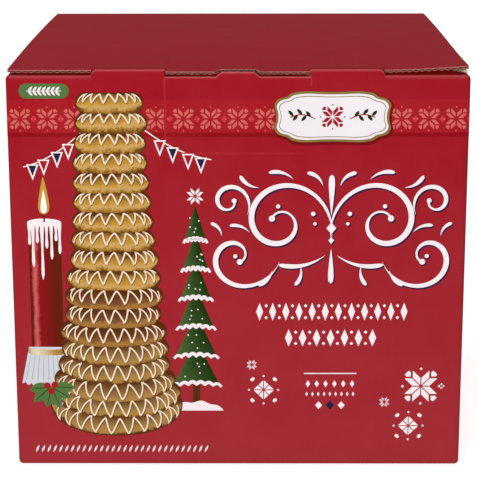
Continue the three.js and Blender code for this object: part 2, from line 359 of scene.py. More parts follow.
def sheet(name, x, y, upper, thick, materials, fold=None):
    """A dressed slab of one thickness, measured down from its upper side's height over x and y."""
    x, y, upper = np.broadcast_arrays(x, y, upper)
    over, under = (np.stack([x, y, z], -1) for z in (upper, upper - thick))
    dress(slab(name, over, under, materials, np.stack([x, y], -1), fold))


def with_pairs(values, *marks):
    """values with two close ones, a little apart, on each mark: a sharp step between them."""
    apart = 0.01
    marks = np.array([s * m for m in marks for s in (-1, 1)])
    return np.unique(np.concatenate([values, marks - apart, marks + apart]))


# ----------------------------------------------
# Materials


# Specular levels
INK_GLOSS = 0.01  # the matt varnish over the inks
PAPER_GLOSS = 0.1
RAW_GLOSS = 0.03  # torn fibres

# The board's noises: scale and detail
WAVINESS, GRAIN, MOTTLE, RUB = (16, 1), (1500, 4), (55, 5), (520, 8)
FLUTE_RELIEF, WAVE_RELIEF, GRAIN_RELIEF = 0.013 * MM, 0.2 * MM, 0.007 * MM
RUB_START, RUB_SLOPE = 0.62, 6  # where the noise begins to be a rubbed spot, and how sharply
PRINT_ROUGHNESS, MOTTLE_ROUGHNESS = 0.36, 0.16  # where the mottle is dark, and added where light

# Where a noise's dark and light tones lie, and how far each is from the colour
INK_TONES = ((0.3, 0.04), (0.7, 0.005))
GROUND_TONES = ((0.3, 0.035), (0.7, 0.004))
PAPER_TONES = ((0.35, 0.28), (0.6, 0.08))
RAW_TONES = ((0.32, 0.45), (0.66, 0.06))
PAPER_FIBRES, RAW_FIBRES = (900, 6), (1200, 6)
BAKED_PATCHES, BAKED_FLECKS = (170, 6), (900, 6)
FLECK_SHARE = 0.8  # the flecks' part of the patchiness

# The red print's marks, and how much of each the fold attribute brings at 1: paler for worn print
# and a painted highlight, cracks, and painted shade
FOLD_PALE, FOLD_CRACKS, FOLD_PAINTED_SHADE = 0.8, 0.5, 0.5
CRACK_LIGHT = 0.25  # how far the cracks' colour is from the worn one towards white
FOOT_PAINTED_LIGHT, FOOT_PAINTED_LIGHT_HEIGHT = 0.016, 0.2  # painted light: the foot of the walls is a little paler, up to so many metres


def feed(tree, socket, value):
    """Links a socket, or sets it to a number or a colour."""
    if isinstance(value, bpy.types.NodeSocket):
        tree.links.new(value, socket)
    elif hasattr(value, "__len__"):
        socket.default_value = (*value, 1)
    else:
        socket.default_value = value


def math_node(tree, operation, *values):
    """The result of one operation on sockets or numbers."""
    node = tree.nodes.new("ShaderNodeMath")
    node.operation = operation
    for socket, value in zip(node.inputs, values):
        feed(tree, socket, value)
    return node.outputs[0]


def noise_node(tree, place, kind):
    """A noise from its scale and detail."""
    node = tree.nodes.new("ShaderNodeTexNoise")
    node.inputs["Scale"].default_value, node.inputs["Detail"].default_value = kind
    feed(tree, node.inputs["Vector"], place)
    return node.outputs["Fac"]


def ramp_node(tree, factor, stops):
    """A colour ramp from (place, colour) stops."""
    node = tree.nodes.new("ShaderNodeValToRGB")
    while len(node.color_ramp.elements) < len(stops):
        node.color_ramp.elements.new(0.5)
    for element, (place, colour) in zip(node.color_ramp.elements, stops):
        element.position = place
        element.color = (*colour, 1)
    feed(tree, node.inputs[0], factor)
    return node.outputs[0]


def mix_node(tree, factor, first, second):
    """The first colour where the factor is 0, the second where it is 1."""
    node = tree.nodes.new("ShaderNodeMix")
    node.data_type = "RGBA"
    for place, value in ((0, factor), (6, first), (7, second)):
        feed(tree, node.inputs[place], value)
    return node.outputs[2]


def attribute_node(tree, name):
    """The piece's own number for each point."""
    node = tree.nodes.new("ShaderNodeAttribute")
    node.attribute_name = name
    return node.outputs["Fac"]


def object_place(tree):
    """The place on the carton, in metres."""
    return tree.nodes.new("ShaderNodeTexCoord").outputs["Object"]


def along_axis(tree, vector, axis):
    """One coordinate of a vector, 0 for X to 2 for Z."""
    split = tree.nodes.new("ShaderNodeSeparateXYZ")
    feed(tree, split.inputs[0], vector)
    return split.outputs[axis]


def between(first, second, share):
    """A colour part of the way from one to another."""
    return tuple(a + (b - a) * share for a, b in zip(first, second))


def two_tones(tree, factor, colour, tones):
    """A colour ramp from a darker tone of a colour to a lighter one."""
    (dark_place, dark), (light_place, light) = tones
    darker = tuple(c * (1 - dark) for c in colour)
    lighter = tuple(c + (1 - c) * light for c in colour)
    return ramp_node(tree, factor, [(dark_place, darker), (light_place, lighter)])


def board_group(carton):
    """The board under every ink: flutes that press through as a shallow sine across the board's
    UV map, paper grain, a slow waviness, and masks of mottle and of rubbed spots."""
    name = "Board surface"
    if name in bpy.data.node_groups:
        return bpy.data.node_groups[name]
    group = bpy.data.node_groups.new(name, "ShaderNodeTree")
    for socket, way, kind in (
        ("Board", "INPUT", "Vector"),
        ("Place", "INPUT", "Vector"),
        ("Flute depth", "INPUT", "Float"),
        ("Mottle", "OUTPUT", "Float"),
        ("Rub", "OUTPUT", "Float"),
        ("Roughness", "OUTPUT", "Float"),
        ("Normal", "OUTPUT", "Vector"),
    ):
        group.interface.new_socket(socket, in_out=way, socket_type=f"NodeSocket{kind}")
    given, put = group.nodes.new("NodeGroupInput"), group.nodes.new("NodeGroupOutput")
    across = along_axis(group, given.outputs["Board"], 0)
    turns = 2 * math.pi / (carton.flute_pitch * MM)
    wave = math_node(group, "SINE", math_node(group, "MULTIPLY", across, turns))
    flutes = math_node(group, "MULTIPLY", wave, given.outputs["Flute depth"])
    waviness, grain, mottle, rub = (
        noise_node(group, given.outputs["Place"], kind) for kind in (WAVINESS, GRAIN, MOTTLE, RUB)
    )
    height = math_node(group, "MULTIPLY", flutes, FLUTE_RELIEF)
    for noise, relief in ((waviness, WAVE_RELIEF), (grain, GRAIN_RELIEF)):
        height = math_node(group, "ADD", height, math_node(group, "MULTIPLY", noise, relief))
    bump = group.nodes.new("ShaderNodeBump")
    for socket, value in (("Strength", 1), ("Distance", 1), ("Height", height)):
        feed(group, bump.inputs[socket], value)
    spots = math_node(group, "SUBTRACT", rub, RUB_START)
    spots = math_node(group, "MULTIPLY", spots, RUB_SLOPE)
    spots = math_node(group, "MAXIMUM", math_node(group, "MINIMUM", spots, 1), 0)
    rough = math_node(group, "MULTIPLY", mottle, MOTTLE_ROUGHNESS)
    rough = math_node(group, "ADD", rough, PRINT_ROUGHNESS)
    for socket, value in (
        ("Mottle", mottle), ("Rub", spots), ("Roughness", rough), ("Normal", bump.outputs[0])
    ):
        feed(group, put.inputs[socket], value)
    return group


def start_material(name, carton, gloss):
    """A material with the board's group in it. Returns it, its tree, the group and the shader."""
    material = bpy.data.materials.new(name)
    material.use_nodes = True
    tree = material.node_tree
    shader = tree.nodes["Principled BSDF"]
    surface = tree.nodes.new("ShaderNodeGroup")
    surface.node_tree = board_group(carton)
    board = tree.nodes.new("ShaderNodeUVMap")
    board.uv_map = BOARD_MAP
    feed(tree, surface.inputs["Board"], board.outputs[0])
    feed(tree, surface.inputs["Place"], object_place(tree))
    surface.inputs["Flute depth"].default_value = 1
    for socket in ("Roughness", "Normal"):
        feed(tree, shader.inputs[socket], surface.outputs[socket])
    shader.inputs["Specular IOR Level"].default_value = gloss
    return material, tree, surface, shader


def light_in_gap(tree, shader, colour):
    """A painted glow in the gap under the lid: an emission, by the piece's gap attribute, that
    stands in for the little light going round there.
    """
    light = mix_node(tree, attribute_node(tree, "gap"), (0, 0, 0), colour)
    feed(tree, shader.inputs["Emission Color"], light)
    shader.inputs["Emission Strength"].default_value = 1


def ink_material(name, carton, colour):
    """An ink on the board: its colour mottled a little by how the paper took it."""
    material, tree, surface, shader = start_material(name, carton, INK_GLOSS)
    shade = two_tones(tree, surface.outputs["Mottle"], colour, INK_TONES)
    feed(tree, shader.inputs["Base Color"], shade)
    return material


def ground_material(name, carton, colour, inks):
    """The red that floods the board, by the piece's fold attribute: above nought it is paler, for
    worn print and a painted highlight, with fine cracks, and below nought it is darker with painted
    shade. Towards the foot it is a little paler with painted light."""
    material, tree, surface, shader = start_material(name, carton, INK_GLOSS)
    shade = two_tones(tree, surface.outputs["Mottle"], colour, GROUND_TONES)
    fold = attribute_node(tree, "fold")
    # above nought the fold is paler: worn print and a painted highlight
    worn = math_node(tree, "MAXIMUM", fold, 0)
    shade = mix_node(tree, math_node(tree, "MULTIPLY", worn, FOLD_PALE), shade, tuple(inks.worn))
    cracks = math_node(tree, "MULTIPLY", worn, surface.outputs["Rub"])
    cracks = math_node(tree, "MULTIPLY", cracks, FOLD_CRACKS)
    shade = mix_node(tree, cracks, shade, between(inks.worn, (1, 1, 1), CRACK_LIGHT))
    # painted light: the red a little paler towards the walls' foot
    foot = math_node(tree, "DIVIDE", along_axis(tree, object_place(tree), 2), FOOT_PAINTED_LIGHT_HEIGHT)
    foot = math_node(tree, "MAXIMUM", math_node(tree, "SUBTRACT", 1, foot), 0)
    shade = mix_node(tree, math_node(tree, "MULTIPLY", foot, FOOT_PAINTED_LIGHT), shade, (1, 1, 1))
    # below nought: painted shade, mixed towards the crust ink
    pressed = math_node(tree, "MULTIPLY", math_node(tree, "MINIMUM", fold, 0), -FOLD_PAINTED_SHADE)
    shade = mix_node(tree, pressed, shade, tuple(inks.crust))
    feed(tree, shader.inputs["Base Color"], shade)
    light_in_gap(tree, shader, tuple(inks.gap))
    return material


def fibre_material(name, carton, colour, fibres, tones, gloss):
    """Bare paper or a raw edge, its fibres as fine streaks of a darker tone. Returns it, its
    tree and the shader."""
    material, tree, _, shader = start_material(name, carton, gloss)
    shade = two_tones(tree, noise_node(tree, object_place(tree), fibres), colour, tones)
    feed(tree, shader.inputs["Base Color"], shade)
    return material, tree, shader


def shaded_material(name, carton, stops, patchiness):
    """An ink that runs from tone to tone by the piece's own shade attribute, from 0 to 1, which
    slow noise breaks into patches and fine noise into flecks, both by the patchiness."""
    material, tree, _, shader = start_material(name, carton, INK_GLOSS)
    coordinates, place = object_place(tree), attribute_node(tree, "shade")
    for kind, share in ((BAKED_PATCHES, 1), (BAKED_FLECKS, FLECK_SHARE)):
        spread = math_node(tree, "SUBTRACT", noise_node(tree, coordinates, kind), 0.5)
        spread = math_node(tree, "MULTIPLY", spread, share * patchiness)
        place = math_node(tree, "ADD", place, spread)
    feed(tree, shader.inputs["Base Color"], ramp_node(tree, place, stops))
    return material


# patchiness, then stops of place, first ink, second ink and the share between them
SHADED = {
    "baked": (0.6, (
        (0.0, "gold", "crust", 0.9), (0.12, "gold", "crust", 0.4), (0.3, "gold", "cream", 0.1),
        (0.48, "gold", "crust", 0.08), (0.74, "gold", "crust", 0.45), (1.0, "gold", "crust", 1.0),
    )),
    "well_baked": (0.5, (
        (0.0, "brown", "crust", 1.0), (0.12, "brown", "gold", 0.3), (0.28, "brown", "gold", 0.4),
        (0.48, "brown", "crust", 0.25), (0.76, "brown", "crust", 0.7), (1.0, "crust", "brown", 0),
    )),
    "foot_baked": (0.5, (
        (0.0, "tan", "crust", 0.9), (0.12, "tan", "gold", 0.4), (0.3, "tan", "gold", 0.3),
        (0.48, "tan", "crust", 0.15), (0.76, "tan", "crust", 0.6), (1.0, "crust", "tan", 0),
    )),
    "wax_shine": (0.1, (
        (0.0, "wax", "crust", 0.9), (0.16, "wax", "deep", 0.6), (0.27, "wax", "pink", 0.95),
        (0.36, "wax", "band", 0.5), (0.7, "wax", "crust", 0.35), (1.0, "crust", "wax", 0.2),
    )),
    "brass": (0.15, (
        (0.0, "olive", "crust", 0.4), (0.3, "gold", "cream", 0.5), (0.6, "olive", "gold", 0.5),
        (1.0, "olive", "crust", 0.6),
    )),
    "fir": (0.35, (
        (0.0, "dark_green", "green", 0), (0.45, "green", "dark_green", 0.75),
        (0.8, "green", "dark_green", 0.3), (1.0, "green", "cream", 0.15),
    )),
}
# the materials that aren't inks
BOARD_NAMES = {
    "ground": "Red print",
    "liner": "Bare board",
    "kraft": "Raw edge",
    "fluting": "Raw fluting",
    "hollow": "Raw inner edge",
}


def material_of(context, kind):
    """Each material is made once, when it is first asked for."""
    carton, inks = Carton(context), context.scene.carton_inks
    name = BOARD_NAMES.get(kind, "Ink " + kind)
    if name in bpy.data.materials:
        return bpy.data.materials[name]
    if kind in SHADED:
        patchiness, tones = SHADED[kind]
        stops = [
            (place, between(getattr(inks, first), getattr(inks, second), share))
            for place, first, second, share in tones
        ]
        return shaded_material(name, carton, stops, patchiness)
    colour = tuple(getattr(inks, kind))
    if kind == "ground":
        return ground_material(name, carton, colour, inks)
    if kind == "liner":
        paper = (PAPER_FIBRES, PAPER_TONES, PAPER_GLOSS)
        material, tree, shader = fibre_material(name, carton, colour, *paper)
        light_in_gap(tree, shader, tuple(inks.gap))
        return material
    if kind in BOARD_NAMES:
        return fibre_material(name, carton, colour, RAW_FIBRES, RAW_TONES, RAW_GLOSS)[0]
    return ink_material(name, carton, colour)


# ----------------------------------------------
# The board's pieces


# The walls' surface. Lengths are in millimetres, as everywhere below.
FOLD_STEPS = 8  # strips round a fold
WALL_ROWS, WALL_COLUMNS = 42, 45  # over a wall's flat part
WALL_MARGIN = 6.0  # from a fold to the first of those rows
UNDERSIDE_ROWS = (0, 0.5, 0.92)  # as shares of the outline
# the board turned in under the lid: in from the wall's flat part, and down from the walls' top
TURNED_IN = ((2.0, 0.1), (4.5, 0.5), (5.0, 4.0), (10.0, 4.0))
GAP_DEPTH, GAP_FLOOR = TURNED_IN[-1]

# Worn print, with a painted highlight at the top fold, the cut edge and the bridges' creases, and
# painted shade: strength and spread
TOP_WEAR_AND_HIGHLIGHT, CUT_WEAR_AND_HIGHLIGHT = (0.5, 1.15), (0.8, 0.5)
FOOT_SHADE, SIDE_SHADE = (0.6, 1.4), (0.35, 1.4)
LID_SIDE_SHADE, LID_BACK_SHADE, SCORE_SHADE = (0.45, 1.0), (0.45, 1.6), (0.35, 1.2)
BRIDGE_WEAR_AND_HIGHLIGHT, BACK_WEAR, HOLLOW_SHADE = (0.8, 0.75), (0.3, 0.75), (0.45, 2.4)
TOP_WEAR_PAST = 0.4  # from the middle of the top fold
HOLLOW_SHADE_BEHIND = 4.0  # a folded strip's fold


def mark(distance, kind):
    """Wear or shade at a distance from its middle: a strength times a bell curve."""
    strength, spread = kind
    return strength * bell(distance, spread)


def wall_columns(carton):
    """Places across one wall, with close pairs where the cut edge begins and ends, and round
    the fold at its right end."""
    tongue = [carton.tongue_half_width, carton.tongue_half_width - carton.tongue_bevel]
    edges = np.concatenate([tongue, carton.flat - NEAR_FOLD])
    wall = np.linspace(-carton.flat, carton.flat, WALL_COLUMNS)
    wall = with_pairs(np.concatenate([wall, edges, -edges]), carton.bridge_start)
    arc = carton.fold_radius * math.pi / 2
    return np.concatenate([wall, carton.flat + arc * np.arange(1, FOLD_STEPS) / FOLD_STEPS])


class WallRows:
    """The rows of the walls' surface, from the middle of the underside over the bottom folds,
    the walls, the top folds and the turned-in board to the middle of the top. Each row is the
    carton's outline at a level, drawn in by an inset and shrunk to a share of itself."""

    def __init__(self, carton, columns):
        radius, height = carton.fold_radius, carton.wall_height
        turn = np.linspace(0, math.pi / 2, FOLD_STEPS + 1)
        flat_part = np.linspace(radius + WALL_MARGIN, height - radius - WALL_MARGIN, WALL_ROWS)
        low, high = radius + NEAR_FOLD, height - radius - NEAR_FOLD[::-1]
        walls = np.concatenate([low, flat_part, high, [height - radius]])
        inwards, below = np.array([*TURNED_IN, (carton.flat, GAP_FLOOR)]).T
        underside = len(UNDERSIDE_ROWS)
        self.walls = slice(underside + len(turn), underside + len(turn) + len(walls))
        self.fold = slice(self.walls.stop, self.walls.stop + FOLD_STEPS)
        inset = np.concatenate([
            np.full(underside, radius),
            radius * (1 - np.sin(turn)),
            0 * walls,
            radius * (1 - np.cos(turn[1:])),
            np.full(len(inwards), radius),
        ])
        level = np.concatenate([
            np.zeros(underside),
            radius * (1 - np.cos(turn)),
            walls,
            height - radius + radius * np.sin(turn[1:]),
            height - below,
        ])
        shrink = np.ones(len(level))
        shrink[:underside] = UNDERSIDE_ROWS
        shrink[self.fold.stop :] = 1 - inwards / carton.flat
        reach = shrink * (carton.flat + radius - inset)
        along = np.concatenate([[0], np.cumsum(np.hypot(np.diff(reach), np.diff(level)))])
        self.from_foot = (along - along[underside + FOLD_STEPS // 2])[:, None]
        self.from_brow = (along - along[self.fold.stop - 1 - FOLD_STEPS // 2])[:, None]
        self.form = [np.repeat(v[:, None], columns, 1) for v in (inset, level, shrink)]

    def cut(self, carton, top):
        """The same rows where the front wall ends in a cut edge, whose height is top."""
        radius, inner = carton.fold_radius, self.fold.stop
        inset, level, shrink = (v.copy() for v in self.form)
        share = (level[self.walls] - radius) / (carton.wall_height - 2 * radius)
        level[self.walls] = radius + share * (top - radius)
        level[self.fold] = top
        level[inner:] = carton.wall_height - GAP_FLOOR
        inset[self.fold] = np.linspace(0, carton.board, FOLD_STEPS)[:, None]
        inset[inner : inner + 3], inset[inner + 3] = carton.board, GAP_DEPTH
        shrink[inner : inner + 4] = 1
        return inset, level, shrink


def make_walls(context):
    """The four walls, the underside and the board turned in under the lid as one closed surface.
    Each row is the carton's outline, drawn in by a quarter circle at the folds and shrunk to a
    point in the middle of the underside and of the top. Between the bridges the front wall ends in
    a cut. Worn print with a painted highlight, and painted shade, are bell curves of the way along
    the board from a fold or a cut."""
    carton = Carton(context)
    across = wall_columns(carton)
    columns, top = len(across), carton.tongue(across)[None, :]
    rows = WallRows(carton, columns)
    plain_form, cut_form = rows.form, rows.cut(carton, top)
    row_count, inner = len(plain_form[0]), rows.fold.stop
    cut = (np.abs(across) < carton.bridge_start)[None, :]
    corner = carton.flat + carton.fold_radius * math.pi / 4
    # worn print and a painted highlight at the top fold and along the cut edge; painted shade at
    # the foot fold and the upright corners
    top_wear_and_highlight = mark(rows.from_brow - TOP_WEAR_PAST, TOP_WEAR_AND_HIGHLIGHT)
    cut_wear_and_highlight = mark(top - cut_form[1], CUT_WEAR_AND_HIGHLIGHT)
    shade = mark(rows.from_foot, FOOT_SHADE), mark(corner - np.abs(across), SIDE_SHADE)[None, :]
    points, places, kinds, folds = [], [], [], []
    for side in (FRONT, RIGHT, BACK, LEFT):
        here = cut & (side == FRONT)
        inset, level, shrink = (np.where(here, c, p) for c, p in zip(cut_form, plain_form))
        grid = carton.on_wall(side, across[None, :], level, inset=inset)
        grid[..., :2] *= shrink[..., None]
        points.append(grid)
        unrolled = carton.unrolled(side, across[None, :], level)
        unrolled[inner:, :, 1] += inset[inner:]
        places.append(unrolled)
        kind = np.zeros((row_count - 1, columns), int)
        kind[rows.fold.start - 1 : inner - 1, here[0]] = 2
        kind[inner - 1 : inner + 2, here[0]] = 1
        kinds.append(kind)
        folds.append(np.where(here, cut_wear_and_highlight, top_wear_and_highlight) - shade[0] - shade[1])
    made = new_object(
        "folded_walls",
        np.concatenate(points, 1).reshape(-1, 3),
        grid_faces(row_count, 4 * columns, closed=True),
        [material_of(context, kind) for kind in ("ground", "liner", "kraft")],
        np.concatenate(places, 1).reshape(-1, 2),
        np.concatenate(kinds, 1).ravel(),
        wrap=4 * carton.wall_length,
    )
    set_attribute(made, "fold", np.concatenate(folds, 1))
    # the gap attribute marks where the painted glow lies under the lid
    set_attribute(made, "gap", np.repeat(np.arange(row_count) > inner, 4 * columns))
    merge_doubles(made)
    smooth(made)
    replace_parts(dress(made), NODE)


# The lid's sheets
LID_COLUMNS, LID_ROWS, LID_ROW_POWER = 81, 34, 1.6  # the power brings the front rows closer
NEAR_SCORE = np.linspace(-2.4, 2.4, 9)
UNDER_ROWS, UNDER_ROW_POWER = 9, 2
FLUTE_STEPS = 10  # columns for each flute
FLUTING_THICK = 0.2
FLUTING_SHORT = 0.2, 0.15  # of the lid's sides and of its front edge


def lid_grid(carton, columns, rows, behind=0.0):
    """Places over the lid: columns across, rows from its front edge to the back fold."""
    front = carton.lid_front(columns)[None, :] + behind
    back = carton.half - carton.fold_radius
    return np.broadcast_arrays(columns[None, :], front + rows[:, None] * (back - front))


def make_lid(context):
    """The lid as corrugated board: two flat sheets, and between them a sheet that runs up and
    down as a sine across the lid, so its raw front edge shows real flutes."""
    carton = Carton(context)
    wide, deep = carton.lid_half_width, 2 * carton.half
    notch = carton.notch_reach
    inner = (notch, notch - carton.tongue_bevel, carton.bridge_start - carton.sag_ramp)
    edges = np.concatenate([inner, wide - NEAR_FOLD])
    columns = np.concatenate([np.linspace(-wide, wide, LID_COLUMNS), edges, -edges])
    columns = with_pairs(columns, carton.bridge_start, carton.bridge_end)
    rows = [np.linspace(0, 1, LID_ROWS) ** LID_ROW_POWER, NEAR_CUT / deep]
    rows += [(SCORE_PLACE + NEAR_SCORE) / deep, 1 - NEAR_FOLD / deep]
    ground, kraft, fluting, hollow, liner = (
        material_of(context, kind) for kind in ("ground", "kraft", "fluting", "hollow", "liner")
    )

    x, y = lid_grid(carton, columns, np.unique(np.concatenate(rows)))
    top = carton.lid(x, y) - EDGE_DROOP * carton.pressed(x, y)
    # painted shade: the lid's red is darker along its sides, along the back fold and on the score
    # line
    by_side = mark(wide - np.abs(x), LID_SIDE_SHADE)
    by_back = mark(carton.half - carton.fold_radius - y, LID_BACK_SHADE)
    score_painted_shade = mark(y + carton.half - SCORE_PLACE, SCORE_SHADE) * (np.abs(x) < carton.bridge_end)
    shade = -np.maximum(np.maximum(by_side, by_back), score_painted_shade)
    sheet("lid_top_sheet", x, y, top, carton.liner, [ground, fluting, kraft], shade)

    flutes = int(2 * wide / carton.flute_pitch)
    fine = np.linspace(-wide, wide, flutes * FLUTE_STEPS + 1)
    rows = [np.linspace(0, 1, UNDER_ROWS) ** UNDER_ROW_POWER, NEAR_CUT / deep]
    rows = np.unique(np.concatenate(rows))
    x, y = lid_grid(carton, np.unique(np.concatenate([columns, fine])), rows)
    wave = np.sin(2 * math.pi * x / carton.flute_pitch)
    crush = (EDGE_DROOP - EDGE_CRUSH * (1 + wave) / 2) * carton.pressed(x, y)
    under = carton.lid(x, y) - (carton.board - carton.liner + crush)
    sheet("lid_under_sheet", x, y, under, carton.liner, [fluting, liner, hollow])

    aside, behind = FLUTING_SHORT
    x, y = lid_grid(carton, fine * (1 - aside / wide), rows, behind)
    wave = np.sin(2 * math.pi * x / carton.flute_pitch)
    swing = (carton.board - 2 * carton.liner - FLUTING_THICK) / 2
    depth = (carton.board - FLUTING_THICK) / 2 + EDGE_DROOP * carton.pressed(x, y)
    middle = carton.lid(x, y) - depth + swing * wave
    sheet("lid_fluting", x, y, middle, FLUTING_THICK, [fluting] * 3)


# A strip of board folded from the lid down over a wall
STRIP_LID_STEPS, STRIP_FOLD_STEPS, STRIP_WALL_STEPS = 14, 7, 7
STRIP_THICK, STRIP_DROP = 1.15, 7.0  # its board, and how far it comes down the wall
STRIP_PROUD = 0.12  # over the wall's face
STRIP_OVER = 0.05  # over the lid's face
STRIP_SINK = 0.2  # how far its lower end goes into the wall
STRIP_LAP = (0.12, 1.5)  # how far its back end sinks into the lid, and over what length
STRIP_HOLLOW = (0.5, 1.5)  # the pressed hollow's depth and spread
HOLLOW_PLACE = 3.4  # behind the strip's face
STRIP_SIDE_COLUMNS, STRIP_CORNER_COLUMNS, BACK_COLUMNS = 16, 8, 61


def creased_strip(context, name, columns, outwards, radius, crease_wear_and_highlight, round_from=None):
    """Board folded from the lid down over a wall: over the lid with a pressed hollow, round a
    quarter circle, and down the wall until it sinks into it. The underside is the top moved in
    along its own normal. outwards is -1 over the front wall and 1 over the back one. Past
    round_from, less a corner, the strip's lower corner is rounded as a quarter circle."""
    carton = Carton(context)
    face = carton.half + STRIP_PROUD
    inward = np.linspace(BRIDGE_REACH, radius, STRIP_LID_STEPS)
    x, y_lid = columns[None, :], (outwards * (face - inward))[:, None]
    lowered = 0.0
    if round_from is not None:
        corner = 2.0 * radius
        past = np.clip(np.abs(columns) - (round_from - corner), 0, corner)
        lowered = (corner - np.sqrt(np.maximum(corner**2 - past**2, 0)))[None, :]
    sink, sink_length = STRIP_LAP
    sink = sink * np.clip((inward - BRIDGE_REACH + sink_length) / sink_length, 0, 1)[:, None]
    to_fold = np.clip(1 - (inward - radius) / (BRIDGE_REACH - radius), 0, 1)[:, None]
    lid = carton.lid(x, np.clip(y_lid, -carton.half, carton.half)) + STRIP_OVER
    z_lid = lid - sink - mark(inward - HOLLOW_PLACE, STRIP_HOLLOW)[:, None] - lowered * to_fold**2
    z_fold = z_lid[-1]
    turn = np.linspace(0, math.pi / 2, STRIP_FOLD_STEPS + 1)[1:, None]
    y_arc = outwards * (face - radius + radius * np.sin(turn))
    z_arc = z_fold - radius + radius * np.cos(turn)
    down = np.linspace(0, 1, STRIP_WALL_STEPS + 1)[1:, None]
    z_wall = z_fold - radius - down * (STRIP_DROP - lowered)
    proud = carton.bulge(x, z_wall) + STRIP_PROUD - STRIP_SINK * down**2
    y_wall = outwards * (carton.half + proud)
    y_parts = (np.broadcast_to(v, (len(v), len(columns))) for v in (y_lid, y_arc, y_wall))
    y, z = np.concatenate(list(y_parts)), np.concatenate([z_lid, z_arc, z_wall])
    top = np.stack([np.broadcast_to(x, y.shape), y, z], -1)
    run = np.gradient(top, axis=0)
    normal = np.stack([np.zeros_like(y), -run[..., 2], run[..., 1]], -1) * outwards
    normal /= np.linalg.norm(normal, axis=-1, keepdims=True)
    under = top - STRIP_THICK * normal
    along = np.concatenate([[0], np.cumsum(np.hypot(np.diff(y[:, 0]), np.diff(z[:, 0])))])
    board = carton.lid_top + BRIDGE_REACH - along
    places = np.stack(np.broadcast_arrays(x, board[:, None]), -1)
    from_fold = board[STRIP_LID_STEPS + 1] - board
    # the crease is paler with worn print and, on the bridges, a painted highlight; behind it is
    # painted shade in the hollow, and over the front wall a painted shade line on the score
    wear = mark(from_fold, crease_wear_and_highlight) - mark(from_fold + HOLLOW_SHADE_BEHIND, HOLLOW_SHADE)
    if outwards < 0:
        wear = wear - mark(face + y[:, 0] - SCORE_PLACE, SCORE_SHADE)
    wear = np.repeat(wear[:, None], len(columns), 1)
    if outwards < 0:
        top, under, places, wear = (v[::-1] for v in (top, under, places, wear))
    materials = [material_of(context, kind) for kind in ("ground", "liner", "kraft")]
    return dress(slab(name, top, under, materials, places, wear))


def make_bridges(context):
    """The two creased bridges that join the lid to the front wall, and the back wall's fold."""
    carton = Carton(context)
    radius, end = carton.crease_radius, carton.bridge_end
    corner = 2 * radius
    turn = np.linspace(0, math.pi / 2, STRIP_CORNER_COLUMNS + 1)[1:]
    plain = np.linspace(carton.bridge_start, end - corner, STRIP_SIDE_COLUMNS)
    half = np.concatenate([plain, end - corner + corner * np.sin(turn)])
    for side, name in ((-1, "bridge_left"), (1, "bridge_right")):
        creased_strip(context, name, np.sort(side * half), -1, radius, BRIDGE_WEAR_AND_HIGHLIGHT, end)
    columns = np.linspace(-carton.lid_half_width, carton.lid_half_width, BACK_COLUMNS)
    creased_strip(context, "back_fold", columns, 1, carton.fold_radius, BACK_WEAR)


FLAP_THICK, FLAP_REACH = 1.1, 55.0
FLAP_ROWS, FLAP_ROW_POWER, FLAP_COLUMNS, FLAP_COLUMN_POWER = 25, 1.4, 30, 1.5
FLAP_SLANT, FLAP_SLANT_END = 1.7, 30.0  # how its front and back edges are cut away
FLAP_IN, FLAP_UP, FLAP_FROM_BACK = 1.8, 0.1, 6.0  # from the wall's face, its top and the back
FLAP_SPRING_SPREAD, FLAP_SPRING_POWER = 9, 6
# name, side, from the front wall's face, and how far the front corner springs up
FLAPS = (("flap_left", -1, 11.0, 0.0), ("flap_right", 1, 0.8, 1.2))


def make_flaps(context):
    """The side walls' turned-in flaps under the lid, their front and back edges cut away at a
    slant, the right one sprung up a little at its front corner."""
    carton = Carton(context)
    rows = np.linspace(0, 1, FLAP_ROWS)[:, None] ** FLAP_ROW_POWER
    inward = FLAP_REACH * np.linspace(0, 1, FLAP_COLUMNS)[None, :] ** FLAP_COLUMN_POWER
    cut_away = np.minimum(inward * FLAP_SLANT, FLAP_SLANT_END)
    for name, side, from_front, spring in FLAPS:
        front = -carton.half + from_front + cut_away
        back = carton.half - FLAP_FROM_BACK - cut_away
        y = front + rows * (back - front)
        x = side * (carton.half - FLAP_IN - inward) + 0 * y
        to_front = np.clip(-y / carton.half, 0, 1) ** FLAP_SPRING_POWER
        corner = spring * bell(inward, FLAP_SPRING_SPREAD) * to_front
        z = carton.wall_height + FLAP_UP + FLAP_THICK + corner
        order = slice(None, None, -side)
        x, y, z = x[:, order], y[:, order], z[:, order]
        sheet(name, x, y, z, FLAP_THICK, [material_of(context, "liner")] * 3)


# ----------------------------------------------
# Inks


